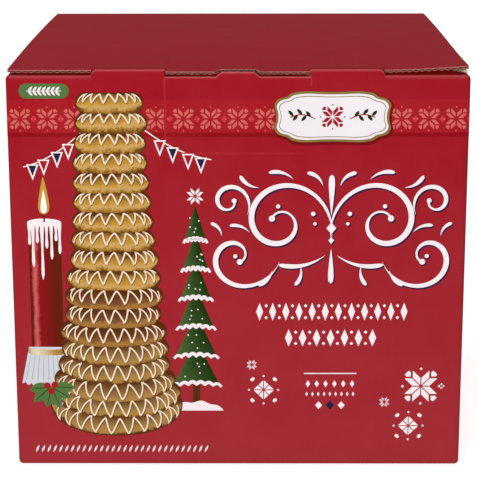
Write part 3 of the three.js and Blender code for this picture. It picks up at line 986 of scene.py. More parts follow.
class InkLayer:
    """Flat patches of one ink on one wall, gathered into one piece that is a thin closed slab.
    Places are in millimetres: across from the wall's middle, and up from the underside."""

    STEP = 0.03  # from one layer of ink to the next
    PATCH_STEPS = 12  # patches that follow each other in a layer lie this part of a step apart
    ROOT = 0.03  # how deep every layer reaches into the board
    FOLD_CELLS = 6  # along each side of a patch that reaches round a fold, and to its middle

    def __init__(self, context, side=FRONT):
        self.context, self.carton, self.side = context, Carton(context), side
        self.points, self.faces, self.shades, self.lifts, self.count = [], [], [], [], 0

    def add(self, points, faces, shade=None):
        """Adds faces over points, each face turned to look outwards."""
        points = np.asarray(points, float)
        faces = np.asarray(faces, int)
        corners = points[faces]
        x, z = corners[..., 0], corners[..., 1]
        area = (x * np.roll(z, -1, 1) - z * np.roll(x, -1, 1)).sum(1)
        faces = np.where((area < 0)[:, None], faces[:, ::-1], faces)
        self.faces += (faces + self.count).tolist()
        step = len(self.points) % self.PATCH_STEPS * self.STEP / self.PATCH_STEPS
        self.lifts.append(np.full(len(points), step))
        self.points.append(points)
        self.shades.append(np.zeros(len(points)) if shade is None else np.ravel(shade))
        self.count += len(points)

    def grid(self, across, up, shade=None):
        """A patch over a grid of places."""
        across, up = np.broadcast_arrays(across, up)
        points = np.stack([across, up], -1).reshape(-1, 2)
        self.add(points, grid_faces(*across.shape), shade)

    def polygon(self, points, centre=(0, 0)):
        """A patch with a few corners that bulge outwards. Where it reaches round a fold, it is a
        grid of small cells that shrinks its outline to its middle."""
        points = np.asarray(points, float) + centre
        if np.abs(points[:, 0]).max() < self.carton.flat:
            self.add(points, [np.arange(len(points))])
            return
        following = np.roll(points, -1, 0)
        sides = np.linspace(points, following, self.FOLD_CELLS, endpoint=False)
        outline = sides.transpose(1, 0, 2).reshape(-1, 2)
        outline, middle = np.vstack([outline, outline[:1]]), points.mean(0)
        shares = np.linspace(0, 1, self.FOLD_CELLS)[:, None, None]
        cells = middle + shares * (outline - middle)
        self.grid(cells[..., 0], cells[..., 1])

    def fan(self, outline, centre):
        """A patch round a centre that sees its whole outline."""
        count = len(outline)
        index = np.arange(count)
        faces = np.stack([index, (index + 1) % count, np.full(count, count)], -1)
        self.add(np.vstack([outline, centre]), faces)

    def ribbon(self, path, half_width):
        """A stroke along a path, its width measured square to the path."""
        path = np.asarray(path, float)
        run = np.gradient(path, axis=0)
        run /= np.maximum(np.linalg.norm(run, axis=1, keepdims=True), 1e-9)
        aside = np.stack([-run[:, 1], run[:, 0]], -1)
        aside *= np.broadcast_to(half_width, len(path))[:, None]
        sides = np.stack([path - aside, path, path + aside])
        self.grid(sides[..., 0], sides[..., 1])

    def disc(self, centre, radius, squeeze=1.0, sides=20):
        """A round patch, or an ellipse whose height is squeezed."""
        angle = np.linspace(0, 2 * math.pi, sides, endpoint=False)
        outline = np.stack([np.cos(angle), squeeze * np.sin(angle)], -1) * radius + centre
        self.fan(outline, centre)

    def rectangle(self, left, right, low, high, rows=2):
        """An upright rectangle."""
        self.grid(np.array([[left, right]]), np.linspace(low, high, rows)[:, None])

    def finish(self, name, kind, level):
        """The piece, level steps over the board."""
        places = np.concatenate(self.points)
        lift = level * self.STEP + np.concatenate(self.lifts)
        points = self.carton.on_wall(self.side, places[:, 0], places[:, 1], lift)
        uv = self.carton.unrolled(self.side, places[:, 0], places[:, 1])
        made = new_object(name, points, self.faces, [material_of(self.context, kind)], uv)
        if kind in SHADED:
            set_attribute(made, "shade", np.concatenate(self.shades))
        merge_doubles(made)
        thick = made.modifiers.new("Ink thickness", "SOLIDIFY")
        thick.thickness = ((level + 1) * self.STEP + self.ROOT) * MM
        thick.offset = -1
        return dress(made)


def turned(points, quarter_turns, mirrored):
    """Points mirrored over the diagonal, then turned by quarters."""
    points = np.asarray(points, float)
    if mirrored:
        points = points[:, ::-1]
    for _ in range(quarter_turns):
        points = np.stack([-points[:, 1], points[:, 0]], -1)
    return points


def eightfold(layer, points, centre, size):
    """One shape repeated in the eight octants of a star."""
    for quarter in range(4):
        for mirrored in (False, True):
            layer.polygon(turned(points, quarter, mirrored) * size, centre)


def fourfold(layer, points, centre, size):
    """One shape repeated in the four quarters of a star."""
    for quarter in range(4):
        layer.polygon(turned(points, quarter, False) * size, centre)


def diamond(layer, centre, half_width, half_height=None):
    """A square on its corner, or a rhombus where its half height is given too."""
    high = half_height or half_width
    layer.polygon([(-half_width, 0), (0, -high), (half_width, 0), (0, high)], centre)


def tips(layer, centre, size, reach, half):
    """A small diamond past each end of a star's two axes."""
    for x, z in ((0, reach), (0, -reach), (reach, 0), (-reach, 0)):
        diamond(layer, (centre[0] + x * size, centre[1] + z * size), half * size)


def petal(gap):
    """One petal of the eight-petalled star on a unit grid: a parallelogram with two sides along
    the axis and two along the diagonal, drawn in by the gap on both sides."""
    aside = gap * math.sqrt(2)
    return [(gap + aside, gap), (0.5 + gap, gap), (1, 0.5), (0.5 + aside, 0.5)]


# Small shapes in the corners of a star's unit grid, and its tips' reach and half width
PETAL_BIT = [(0.63, 0.63), (0.88, 0.62), (0.99, 0.74), (0.88, 0.88), (0.74, 0.99), (0.62, 0.88)]
DOTTED_BIT = [(0.62, 0.62), (0.78, 0.56), (0.86, 0.7), (0.7, 0.86), (0.56, 0.78)]
PETAL_TIPS, DOTTED_TIPS = (1.12, 0.09), (0.92, 0.08)
DOTTED_REACH, DOTTED_GAP = 0.66, 0.03  # of the cut diamond


def petal_star(layer, centre, size, gap=0.035, plain=False):
    """The eight-petalled star of knitted mittens. Unless it is plain, it also has a bit between
    the petals' tips at each corner and a small diamond past each end of its axes."""
    eightfold(layer, petal(gap), centre, size)
    if not plain:
        fourfold(layer, PETAL_BIT, centre, size)
        tips(layer, centre, size, *PETAL_TIPS)


def dotted_star(layer, centre, size):
    """A diamond cut into eight by its axes and diagonals, with small bits all round it."""
    gap, reach = DOTTED_GAP, DOTTED_REACH
    aside = gap * math.sqrt(2)
    wedge = [(gap + aside, gap), (reach - gap, gap), ((reach + aside) / 2, (reach - aside) / 2)]
    eightfold(layer, wedge, centre, size)
    fourfold(layer, DOTTED_BIT, centre, size)
    tips(layer, centre, size, *DOTTED_TIPS)


# ----------------------------------------------
# Motifs of the print, in millimetres from the wall's middle and up from the underside

BAND_MIDDLE, BAND_FOOT, BAND_TOP = 191.4, 183.1, 201.5
BAND_LINE_HALF = 1.0
BAND_STAR, BAND_STAR_GAP = 5.5, 0.075
BAND_DIAMOND = 1.7, 1.8  # half width and half height
BAND_COLUMNS, BAND_FOLD_COLUMNS, BAND_ROWS = 61, 5, 4


def make_band(context):
    """The knitted band round the carton: brighter red, pink stars with diamonds between, and a
    darker line under it."""
    carton = Carton(context)
    half, pitch = carton.wall_length / 2, carton.star_pitch
    fold, columns = np.linspace(carton.flat, half, BAND_FOLD_COLUMNS), BAND_COLUMNS
    columns = np.unique(np.concatenate([np.linspace(-half, half, columns), fold, -fold]))[None, :]
    count = int(round(2 * carton.half / pitch))
    for side, wall in enumerate(WALLS):
        ground, line, stars, diamonds = (InkLayer(context, side) for _ in range(4))
        ground.grid(columns, np.linspace(BAND_FOOT, BAND_TOP, BAND_ROWS)[:, None])
        line.grid(columns, BAND_FOOT + BAND_LINE_HALF * np.array([[-1], [1]]))
        for x in (np.arange(count) - (count - 1) / 2) * pitch:
            petal_star(stars, (x, BAND_MIDDLE), BAND_STAR, BAND_STAR_GAP)
            diamond(diamonds, (x + pitch / 2, BAND_MIDDLE), *BAND_DIAMOND)
        ground.finish(f"band_ground_{wall}", "band", 1)
        line.finish(f"band_line_{wall}", "band_line", 2)
        stars.finish(f"band_stars_{wall}", "pink", 2)
        diamonds.finish(f"band_diamonds_{wall}", "rose", 2)


SMALL_STAR_GAP = 0.09
# each wall's loose stars: place across and up, half width and kind
LOOSE_STARS = {
    FRONT: ((98.2, 45.4, 8.8, "petals"), (13.6, 43.4, 8.5, "dotted"), (91.9, 22.8, 8.5, "dotted"),
            (7.2, 57.6, 2.8, "small"), (78.7, 36.4, 2.8, "small")),
    RIGHT: ((-84, 48, 13, "petals"), (-52, 26, 8.4, "dotted"), (-56, 56, 3, "small"),
            (80, 140, 8.4, "dotted"), (62, 158, 3, "small"), (88, 118, 3, "small"),
            (88, 30, 8.2, "petals")),
    BACK: ((-92, 44, 8.2, "petals"), (-70, 26, 8.0, "dotted"), (-74, 52, 2.6, "small"),
           (92, 44, 8.0, "dotted"), (78, 26, 2.6, "small"), (98, 66, 2.6, "small")),
}
LOOSE_STARS[LEFT] = tuple((-x, z, size, kind) for x, z, size, kind in LOOSE_STARS[RIGHT])
# four small diamonds beside the front's first star: across and up, from their middle, half width
CLUSTER_MIDDLE, CLUSTER_REACH, CLUSTER_HALF = (109.376, 45.4), 1.1, 0.6


def make_white_stars(context):
    """White knitted stars in the lower corners of each wall."""
    for side, wall in enumerate(WALLS):
        stars = InkLayer(context, side)
        for x, z, size, kind in LOOSE_STARS[side]:
            if kind == "petals":
                petal_star(stars, (x, z), size)
            elif kind == "dotted":
                dotted_star(stars, (x, z), size)
            else:
                petal_star(stars, (x, z), size, SMALL_STAR_GAP, plain=True)
        if side == FRONT:
            x, z = CLUSTER_MIDDLE
            for aside, up in ((-1, 0), (1, 0), (0, -1), (0, 1)):
                place = (x + CLUSTER_REACH * aside, z + CLUSTER_REACH * up)
                diamond(stars, place, CLUSTER_HALF)
        stars.finish(f"white_stars_{wall}", "white", 2)


TOWER_MIDDLE, TOWER_FOOT, TOWER_TOP, TOWER_RINGS = -66.0, 18.2, 204.6, 18
RING_THICK = 5.2  # half a ring's thickness
RINGS_CLOSER = 0.15, 0.14  # how much closer the rings lie at the foot, and over what share
# sizes, each with the power by which it grows towards the foot: a ring's half width, and its
# half depth as a share of that
RING_WIDTHS, RING_DEPTHS = ((15.8, 0), (11.5, 0.8), (8.5, 3)), ((0.03, 0), (0.42, 3))
RINGS_PALER = 0.1, 0.42, 0.14  # the tone that is added, where in the tower, and over what share
RING_COLUMNS, RING_ROWS, RING_SWEEP = 61, 9, 181  # the last one is for the discs round its ellipse
RING_END_SHADE = 0.45, 6  # how much wider the shade's run is at a ring's ends, and by what power
RING_UNEVEN, RING_SHIFT, RING_TONE = 0.9, 0.8, 0.08  # how far each ring may be off, either way
BACKING_GROWN = 0.6  # how far the dark backing shows round the rings
ICING_REACH = 1.3  # how far the icing goes round a ring, either way, in radians
ICING_TOP = 78  # degrees round the dough
ICING_POINTS = 24  # along each turn of the icing
ICING_ZIGZAG, ICING_UNEVEN = 0.95, 0.2  # 1 would be a zigzag, and how far turns differ in length
# at the tower's top, and what is added towards its foot: the icing's pitch, and its lowest place
# in degrees round the dough
ICING_PITCH, ICING_LOWEST = (6.6, 2.6), (12, -45)
ICING_HALF_WIDTH = 0.22, 0.21  # at a ring's side, and what is added towards its middle
ICING_SHADOW, ICING_SHADOW_GROWN = (0.3, -0.35), 0.02
# name, material, level and first ring of each group of rings, from the foot up
RING_GROUPS = (
    ("tower_rings_foot", "foot_baked", 6, 0),
    ("tower_rings_brown", "well_baked", 7, 5),
    ("tower_rings", "baked", 8, 8),
)


def tower_rings():
    """Each ring's middle height, half width and half depth along the middle of its dough, shift
    aside and added tone, from the foot to the top. The rings make a cone that is seen from a
    little above, so the lower a ring lies, the deeper its ellipse looks."""
    random = np.random.default_rng(7)
    share = (np.arange(TOWER_RINGS) + 0.5) / TOWER_RINGS
    closer, spread = RINGS_CLOSER
    spacing = 1 - closer * bell(share, spread)
    spacing *= (TOWER_TOP - TOWER_FOOT) / spacing.sum()
    front = TOWER_FOOT + np.cumsum(spacing) - spacing / 2
    outer, depth = (
        sum(size * (1 - share) ** power for size, power in sizes)
        for sizes in (RING_WIDTHS, RING_DEPTHS)
    )
    half_width = outer - RING_THICK + random.uniform(-RING_UNEVEN, RING_UNEVEN, TOWER_RINGS)
    deep = half_width * depth
    shift = random.uniform(-RING_SHIFT, RING_SHIFT, TOWER_RINGS)
    added, place, spread = RINGS_PALER
    tone = random.uniform(-RING_TONE, RING_TONE, TOWER_RINGS) + added * bell(share - place, spread)
    return list(zip(front + deep, half_width, deep, shift, tone))


def ring_patch(layer, ring, grown=0.0):
    """The near half of a ring: at each column it reaches from the lowest to the highest place of
    discs as thick as the ring, whose middles follow the near half of its ellipse. Its shade runs
    from 0 at its foot to 1 at its top, and past both towards its ends."""
    middle, half_width, deep, shift, tone = ring
    thick = RING_THICK + grown
    turn = np.linspace(-math.pi / 2, math.pi / 2, RING_SWEEP)
    along = np.sin(np.linspace(-math.pi / 2, math.pi / 2, RING_COLUMNS))
    x = (half_width + thick) * along
    aside = np.abs(x[:, None] - half_width * np.sin(turn))
    reach = np.sqrt(np.maximum(thick**2 - aside**2, 0))
    near, line = aside <= thick + 1e-6, middle - deep * np.cos(turn)
    low = np.where(near, line - reach, np.inf).min(1)
    high = np.where(near, line + reach, -np.inf).max(1)
    over, (wider, power) = np.linspace(0, 1, RING_ROWS)[:, None], RING_END_SHADE
    shade = 0.5 + (over - 0.5) * (1 + wider * along**power) + tone
    layer.grid(TOWER_MIDDLE + shift + x + 0 * over, low + over * (high - low), shade)


def icing_path(ring, pitch, lowest, wobble):
    """Icing piped up and down over a ring: its turn round the dough swings as a wave between a
    sine's and a zigzag, while it goes round the ring, and both are seen from a little above.
    Returns the path and its turn round the ring."""
    middle, half_width, deep, shift, _ = ring
    turns = round(2 * ICING_REACH * (half_width + RING_THICK) / pitch)
    angle = np.linspace(-ICING_REACH, ICING_REACH, ICING_POINTS * turns)
    phase = angle / ICING_REACH * math.pi * turns + wobble
    wave = np.arcsin(ICING_ZIGZAG * np.sin(phase)) / math.asin(ICING_ZIGZAG)
    uneven = 1 + ICING_UNEVEN * np.sin(np.round(phase / math.pi) * 2.4 + wobble * 9)
    round_dough = np.radians(lowest + (ICING_TOP - lowest) * (1 + wave * uneven) / 2)
    from_middle = half_width + RING_THICK * np.cos(round_dough)
    fall = deep / half_width
    up = RING_THICK * np.sin(round_dough) * math.sqrt(1 - fall**2)
    z = middle - from_middle * fall * np.cos(angle) + up
    return np.stack([TOWER_MIDDLE + shift + from_middle * np.sin(angle), z], -1), angle


def make_tower(context):
    """A tower of baked rings: a dark backing, the rings, and piped icing with its thin shadow.
    Towards the foot the icing's turns widen and reach further down the dough."""
    random = np.random.default_rng(11)
    backing, shadow, icing = (InkLayer(context) for _ in range(3))
    groups = [InkLayer(context) for _ in RING_GROUPS]
    for number, ring in enumerate(tower_rings()):
        ring_patch(backing, ring, BACKING_GROWN)
        group = sum(number >= first for *_, first in RING_GROUPS) - 1
        ring_patch(groups[group], ring)
        down = 1 - (number + 0.5) / TOWER_RINGS
        pitch, lowest = (start + more * down for start, more in (ICING_PITCH, ICING_LOWEST))
        path, angle = icing_path(ring, pitch, lowest, random.uniform(0, math.pi))
        half_width = ICING_HALF_WIDTH[0] + ICING_HALF_WIDTH[1] * np.cos(angle)
        shadow.ribbon(path + ICING_SHADOW, half_width + ICING_SHADOW_GROWN)
        icing.ribbon(path, half_width)
    backing.finish("tower_backing", "crust", 5)
    for rings, (name, kind, level, _) in zip(groups, RING_GROUPS):
        rings.finish(name, kind, level)
    shadow.finish("icing_shadow", "crust", 9)
    icing.finish("icing", "icing", 10)


def stroke(foot, tip, points, bend=0.0):
    """Shares from 0 to 1 and a path from foot to tip, bent aside as a parabola."""
    foot, tip = np.asarray(foot, float), np.asarray(tip, float)
    t, run = np.linspace(0, 1, points), tip - foot
    aside = np.array([-run[1], run[0]]) * bend
    return t, foot + t[:, None] * run + (4 * t * (1 - t))[:, None] * aside


def leaf(layer, foot, tip, width):
    """A pointed leaf from foot to tip: a sine for its breadth."""
    t, path = stroke(foot, tip, 13)
    layer.ribbon(path, width * np.sin(math.pi * t) ** 0.8)


def teardrop(layer, foot, tip, width, bend=0.0):
    """A stroke that starts in a point, swells and ends round, bent to one side."""
    t, path = stroke(foot, tip, 21, bend)
    layer.ribbon(path, width * t**0.8 * np.sqrt(np.maximum(1 - t**7, 0)))


def shaded_column(layer, middle, half, foot, top):
    """An upright round body: its shade runs from 0 on its left to 1 on its right, spread as an
    arcsine so that its sides turn away, and its ends are the near halves of ellipses."""
    along = np.sin(np.linspace(-math.pi / 2, math.pi / 2, 25))[None, :]
    rows = np.linspace(0, 1, 9)[:, None]
    dip = 0.16 * half * np.sqrt(1 - along**2)
    shade = np.broadcast_to(0.5 + np.arcsin(along) / math.pi, (9, 25))
    layer.grid(middle + half * along, foot + rows * (top - foot) - dip, shade)


CANDLE_MIDDLE, CANDLE_HALF, CANDLE_FOOT, CANDLE_TOP = -102.0, 8.6, 66.0, 136.0
# each run of wax: its place across the candle, as a share of its half width, and its length
WAX_RUNS = ((-0.93, 12), (-0.72, 24), (-0.45, 11), (-0.16, 31), (0.12, 14), (0.42, 20), (0.7, 10),
            (0.92, 17))
WAX_HALF_WIDTH, WAX_WAIST = 1.05, 0.45
WAX_POOL = 0.4, 0.24  # how far it reaches past the candle's sides, and how flat it looks
# name, material, tip and foot over the candle, half width and level
FLAMES = (("flame_glow", "gold", 25, 4.5, 4.0, 6), ("flame", "cream", 18, 5.2, 2.2, 7))
WICK, WICK_HALF_WIDTH = (0.5, 2.5, 4.5), 0.4
# the paper frill: half width at its top, how far it flares, length, and pleats
FRILL_HALF, FRILL_FLARE, FRILL_LENGTH, PLEATS = 10.2, 4.2, 17.0, 9
FRILL_SCALLOP, FRILL_SAG, FRILL_OVER = 1.6, 2.4, 1.5
PLEAT_FLARE, PLEAT_LENGTH, PLEAT_PLACE, PLEAT_START = 4.0, 16.5, 0.86, 0.5
PLEAT_HALF_WIDTH = 0.12, 0.22  # at its top, and what is added down to the hem
DISH_HALF, DISH_THICK = 10.6, 1.6
# the leaves' direction in degrees and length, and the berries' places from the leaves' middle
LEAVES = ((188, 12), (222, 13), (258, 12), (292, 13), (328, 12), (-2, 13))
LEAVES_MIDDLE = np.array((-101.0, 45.0))
LEAF_HALF_WIDTH, VEIN_HALF_WIDTH, VEIN_POINTS = 3.0, 0.18, (0.1, 0.5, 0.86)
BERRIES, BERRY = ((-2.0, 0.6), (2.0, 1.0), (0.2, -2.6)), 1.8


def make_candle(context):
    """A red candle with running wax and a flame, left of the tower. A run of wax narrows in its
    middle and ends round."""
    middle, half, top = CANDLE_MIDDLE, CANDLE_HALF, CANDLE_TOP
    body, wax, wick = (InkLayer(context) for _ in range(3))
    shaded_column(body, middle, half, CANDLE_FOOT, top)
    body.finish("candle", "wax_shine", 1)
    for x, drop in WAX_RUNS:
        t, path = stroke((middle + x * half, top), (middle + x * half, top - drop), 14)
        waist = WAX_HALF_WIDTH * (1 - WAX_WAIST * np.sin(math.pi * t) ** 2)
        wax.ribbon(path, waist * np.sqrt(np.maximum(1 - t**8, 0.02)))
    past, squeeze = WAX_POOL
    wax.disc((middle, top + 0.2), half + past, squeeze, sides=28)
    wax.finish("candle_wax", "white", 3)
    for name, kind, tip, foot, width, level in FLAMES:
        flame = InkLayer(context)
        teardrop(flame, (middle, top + tip), (middle, top + foot), width)
        flame.finish(name, kind, level)
    wick.ribbon([(middle, top + z) for z in WICK], WICK_HALF_WIDTH)
    wick.finish("wick", "crust", 8)


def make_dish(context):
    """The candle's brass dish with a pleated paper frill, whose hem is scalloped as a cosine, and
    under it leaves and berries."""
    middle, foot = CANDLE_MIDDLE, CANDLE_FOOT
    frill, pleats, dish, leaves, veins, berries = (InkLayer(context) for _ in range(6))
    along = np.linspace(-1, 1, 12 * PLEATS + 1)[None, :]
    rows = np.linspace(0, 1, 5)[:, None]
    hem = foot - FRILL_LENGTH - FRILL_SCALLOP * np.abs(np.cos(math.pi * PLEATS / 2 * (along + 1)))
    hem = hem - FRILL_SAG * np.sqrt(np.maximum(1 - along**2, 0))
    spread = FRILL_HALF + FRILL_FLARE * (1 - rows)
    frill.grid(middle + spread * along, hem + rows * (foot + FRILL_OVER - hem))
    frill.finish("paper_frill", "frill", 2)
    for place in np.linspace(-PLEAT_PLACE, PLEAT_PLACE, PLEATS):
        start = middle + place * FRILL_HALF, foot - PLEAT_START
        end = start[0] + place * PLEAT_FLARE, start[1] - PLEAT_LENGTH
        t, path = stroke(start, end, 8)
        pleats.ribbon(path, PLEAT_HALF_WIDTH[0] + PLEAT_HALF_WIDTH[1] * t)
    pleats.finish("frill_pleats", "pleat", 3)
    shaded_column(dish, middle, DISH_HALF, foot - DISH_THICK, foot + DISH_THICK)
    dish.finish("candle_dish", "brass", 4)
    for angle, size in LEAVES:
        way = size * np.array((math.cos(math.radians(angle)), math.sin(math.radians(angle))))
        leaf(leaves, LEAVES_MIDDLE, LEAVES_MIDDLE + way, LEAF_HALF_WIDTH)
        veins.ribbon([LEAVES_MIDDLE + way * t for t in VEIN_POINTS], VEIN_HALF_WIDTH)
    for place in BERRIES:
        berries.disc(LEAVES_MIDDLE + place, BERRY)
    leaves.finish("candle_leaves", "green", 11)
    veins.finish("leaf_veins", "dark_green", 12)
    berries.finish("berries", "band", 13)


TREE_MIDDLE, TREE_FOOT, TREE_TOP, TREE_TIERS = -22.5, 46.0, 142.0, 6
TREE_HALF, TREE_NARROWING = 13.4, 8.6  # the lowest tier's half width, and how much is lost above
TRUNK_HALF, TRUNK_DOWN, TRUNK_UP = 1.9, 12, 4
HEM_TEETH, HEM_TOOTH, HEM_DROOP = 6, 1.3, 1.6
TIER_HIGH = 1.6, 0.45  # the lowest tier's height, in steps between tiers, and what is lost above
TREE_SHADE = 0.5, 0.32, 0.4  # in the middle of a hem, less to the right, and less to the top
SNOW_HALF, SNOW_UP, SNOW_THINNER = 1.0, 0.7, 0.35  # up from the hem, and thinner at its ends
FLECKS, FLECK, FLECK_HEIGHTS = 5, 0.42, (0.55, 0.5)  # heights as shares of the tiers' step
TREE_STAR, TREE_STAR_UP, TREE_STAR_GAP = 4.4, 8.5, 0.06
MOUND_HALF, MOUND_RISE, MOUND_DOWN = 14.5, 5.2, 14.5
MOUND_POWER, MOUND_UNEVEN = 0.7, (0.12, 9)  # the second is a sine's height and speed


def make_tree(context):
    """A snowy fir right of the tower: tiers that widen downwards, each with scalloped snow, a
    star over them, and a mound of snow round the trunk."""
    middle, foot = TREE_MIDDLE, TREE_FOOT
    body, snow, trunk = (InkLayer(context) for _ in range(3))
    trunk.rectangle(middle - TRUNK_HALF, middle + TRUNK_HALF, foot - TRUNK_DOWN, foot + TRUNK_UP)
    trunk.finish("tree_trunk", "crust", 2)
    step = (TREE_TOP - foot) / TREE_TIERS
    along = np.linspace(-1, 1, 12 * HEM_TEETH + 1)
    rows = np.linspace(0, 1, 8)[:, None]
    teeth = HEM_TOOTH * np.abs(np.sin(math.pi * HEM_TEETH / 2 * (along + 1)))
    shade = TREE_SHADE[0] - TREE_SHADE[1] * along[None, :] - TREE_SHADE[2] * rows
    for tier in range(TREE_TIERS):
        low, share = foot + tier * step, tier / TREE_TIERS
        wide = TREE_HALF - TREE_NARROWING * share
        high = low + step * (TIER_HIGH[0] - TIER_HIGH[1] * share)
        hem = low + teeth - HEM_DROOP * along**2
        body.grid(middle + wide * along[None, :] * (1 - rows), hem + rows * (high - hem), shade)
        edge = np.stack([middle + wide * along, hem + SNOW_UP], -1)
        snow.ribbon(edge, SNOW_HALF * (1 - SNOW_THINNER * along**2))
        for x, z in np.random.default_rng(tier).uniform(-0.5, 0.5, (FLECKS, 2)):
            up = low + step * (FLECK_HEIGHTS[0] + FLECK_HEIGHTS[1] * z)
            snow.disc((middle + x * wide, up), FLECK, sides=8)
    body.finish("tree", "fir", 3)
    petal_star(snow, (middle, TREE_TOP + TREE_STAR_UP), TREE_STAR, TREE_STAR_GAP, plain=True)
    mound = np.linspace(-1, 1, 31)[None, :]
    rows = np.linspace(0, 1, 4)[:, None]
    uneven, speed = MOUND_UNEVEN
    rise = MOUND_RISE * (1 - mound**2) ** MOUND_POWER * (1 + uneven * np.sin(speed * mound))
    snow.grid(middle + MOUND_HALF * mound + 0 * rows, foot - MOUND_DOWN + rows * rise)
    snow.finish("tree_snow", "white", 4)


STRING_TOP, STRING_FEET = np.array((-66.0, 201.6)), ((-112.0, 166.0), (-14.0, 170.0))
STRING_SAG, STRING_HALF_WIDTH, STRING_POINTS = 6.0, 0.25, 40
PENNANT_PLACES = (0.5, 0.64, 0.78, 0.92)  # along a string
PENNANT = [(-3.2, 0.0), (0, -8.6), (3.2, 0.0)]
PENNANT_FIELD = [(-2.1, -0.7), (0, -6.3), (2.1, -0.7)]


def make_pennants(context):
    """Small white pennants with fields of red and navy by turns, on two strings from the tower's
    top that sag as parabolas."""
    string, pale, red, navy = (InkLayer(context) for _ in range(4))
    for foot in STRING_FEET:
        t, path = stroke(STRING_TOP, foot, STRING_POINTS)
        path[:, 1] -= 4 * t * (1 - t) * STRING_SAG
        string.ribbon(path, STRING_HALF_WIDTH)
        for number, place in enumerate(PENNANT_PLACES):
            knot = path[int(place * (STRING_POINTS - 1))]
            pale.polygon(PENNANT, knot)
            (navy if number % 2 else red).polygon(PENNANT_FIELD, knot)
    string.finish("pennant_strings", "cream", 3)
    pale.finish("pennants", "white", 4)
    red.finish("pennants_red", "band", 5)
    navy.finish("pennants_navy", "navy", 5)


PLAQUE, PLAQUE_HALF_WIDTH, PLAQUE_HALF_HEIGHT = np.array((49.0, 192.5)), 30.3, 13.1
PLAQUE_POWER = 2 / 3.4  # between an ellipse's, 1, and a rectangle's, 0
PLAQUE_DENTS, PLAQUE_POINTS = 0.055, 96
# name, material, how far it is grown, where it is moved, and level
PLAQUE_LAYERS = (
    ("plaque_shadow", "deep", 1.5, (0.5, -0.8), 3),
    ("plaque_rim", "olive", 0.6, (0, 0), 4),
    ("plaque_line", "plaque", -0.7, (0, 0), 5),
    ("plaque_inner_line", "olive", -1.9, (0, 0), 6),
    ("plaque_field", "plaque", -2.3, (0, 0), 7),
)
PLAQUE_STAR, PLAQUE_STAR_GAP = 5.6, 0.045
STEM_START, STEM_LENGTH, STEM_SWING, STEM_DROP, STEM_HALF_WIDTH = 9, 13, 2.2, 1.0, 0.28
STEM_TURN, STEM_POINTS = 0.9 * math.pi, 24
STEM_LEAVES = ((4, 1), (8, -1), (12, 1), (16, -1), (20, 1))  # point along the stem, and side
STEM_LEAF, STEM_LEAF_HALF_WIDTH = (2.6, 3.0), 0.85


def plaque_outline(grown):
    """A closed outline between an ellipse and a rectangle, with eight shallow dents, at its
    corners and the middles of its sides."""
    angle = np.linspace(0, 2 * math.pi, PLAQUE_POINTS, endpoint=False)
    dents = 1 - PLAQUE_DENTS * np.cos(4 * angle) ** 4
    halves = ((np.cos(angle), PLAQUE_HALF_WIDTH), (np.sin(angle), PLAQUE_HALF_HEIGHT))
    outline = [
        (half + grown) * np.sign(wave) * np.abs(wave) ** PLAQUE_POWER * dents
        for wave, half in halves
    ]
    return np.stack(outline, -1) + PLAQUE


def make_plaque(context):
    """A pale plaque with an olive-gold rim over the band, and a small star between two sprigs."""
    for name, kind, grown, moved, level in PLAQUE_LAYERS:
        layer = InkLayer(context)
        layer.fan(plaque_outline(grown) + moved, PLAQUE)
        layer.finish(name, kind, level)
    star, sprigs = InkLayer(context), InkLayer(context)
    petal_star(star, PLAQUE, PLAQUE_STAR, PLAQUE_STAR_GAP)
    along, up = STEM_LEAF
    for side in (-1, 1):
        t = np.linspace(0, 1, STEM_POINTS)
        rise = STEM_SWING * np.sin(t * STEM_TURN) - STEM_DROP
        stem = np.stack([side * (STEM_START + STEM_LENGTH * t), rise], -1) + PLAQUE
        star.ribbon(stem, STEM_HALF_WIDTH)
        for place, way in STEM_LEAVES:
            foot = stem[place]
            leaf(sprigs, foot, foot + (side * along, way * up), STEM_LEAF_HALF_WIDTH)
    star.finish("plaque_star", "band", 8)
    sprigs.finish("plaque_sprigs", "dark_green", 9)


# wall, and the ornament's middle across and up
SCROLL_MIDDLES = ((FRONT, (49.0, 132.0)), (BACK, (0.0, 128.0)))
SCROLL_SHADOW, SCROLL_SHADOW_GROWN = (0.55, -0.65), 0.25
# centre across and up, first and last radius, first and last angle, half width
SCROLLS = (
    ((27.0, 4.0), 29.0, 4.9, 203.0, -330.0, 1.5),
    ((50.0, -14.0), 23.0, 3.6, 188.0, 600.0, 1.4),
    ((54.0, 15.5), 12.0, 3.0, 215.0, -190.0, 1.15),
)
# foot, tip, half width, bend
SCROLL_DROPS = (
    ((3.0, -13.5), (28.0, -18.6), 1.6, -0.12),
    ((4.5, 24.0), (13.0, 31.0), 1.4, 0.16),
    ((20.0, 27.5), (33.0, 31.0), 1.4, 0.14),
    ((38.0, 23.0), (48.0, 29.5), 1.4, -0.14),
    ((43.0, -1.0), (53.5, 2.6), 1.2, 0.14),
    ((31.0, -22.0), (38.5, -30.0), 1.4, -0.14),
    ((16.0, -19.5), (19.0, -30.0), 1.4, -0.14),
    ((57.5, -3.0), (63.5, 4.0), 1.2, 0.16),
)
# the same on the middle line, without a bend
MIDDLE_DROPS = (((0, 8), (0, 30), 2.2), ((0, -10), (0, -29), 2.0))
# across and up, radius
SCROLL_DOTS = (((9.6, 9.0), 1.2), ((8.6, 3.6), 0.9), ((28.0, 13.0), 1.1), ((50.5, -14.0), 1.1))
# up on the middle line, half width
SCROLL_DIAMONDS, TALL = ((1.2, 2.6), (-5.4, 1.5)), 1.2


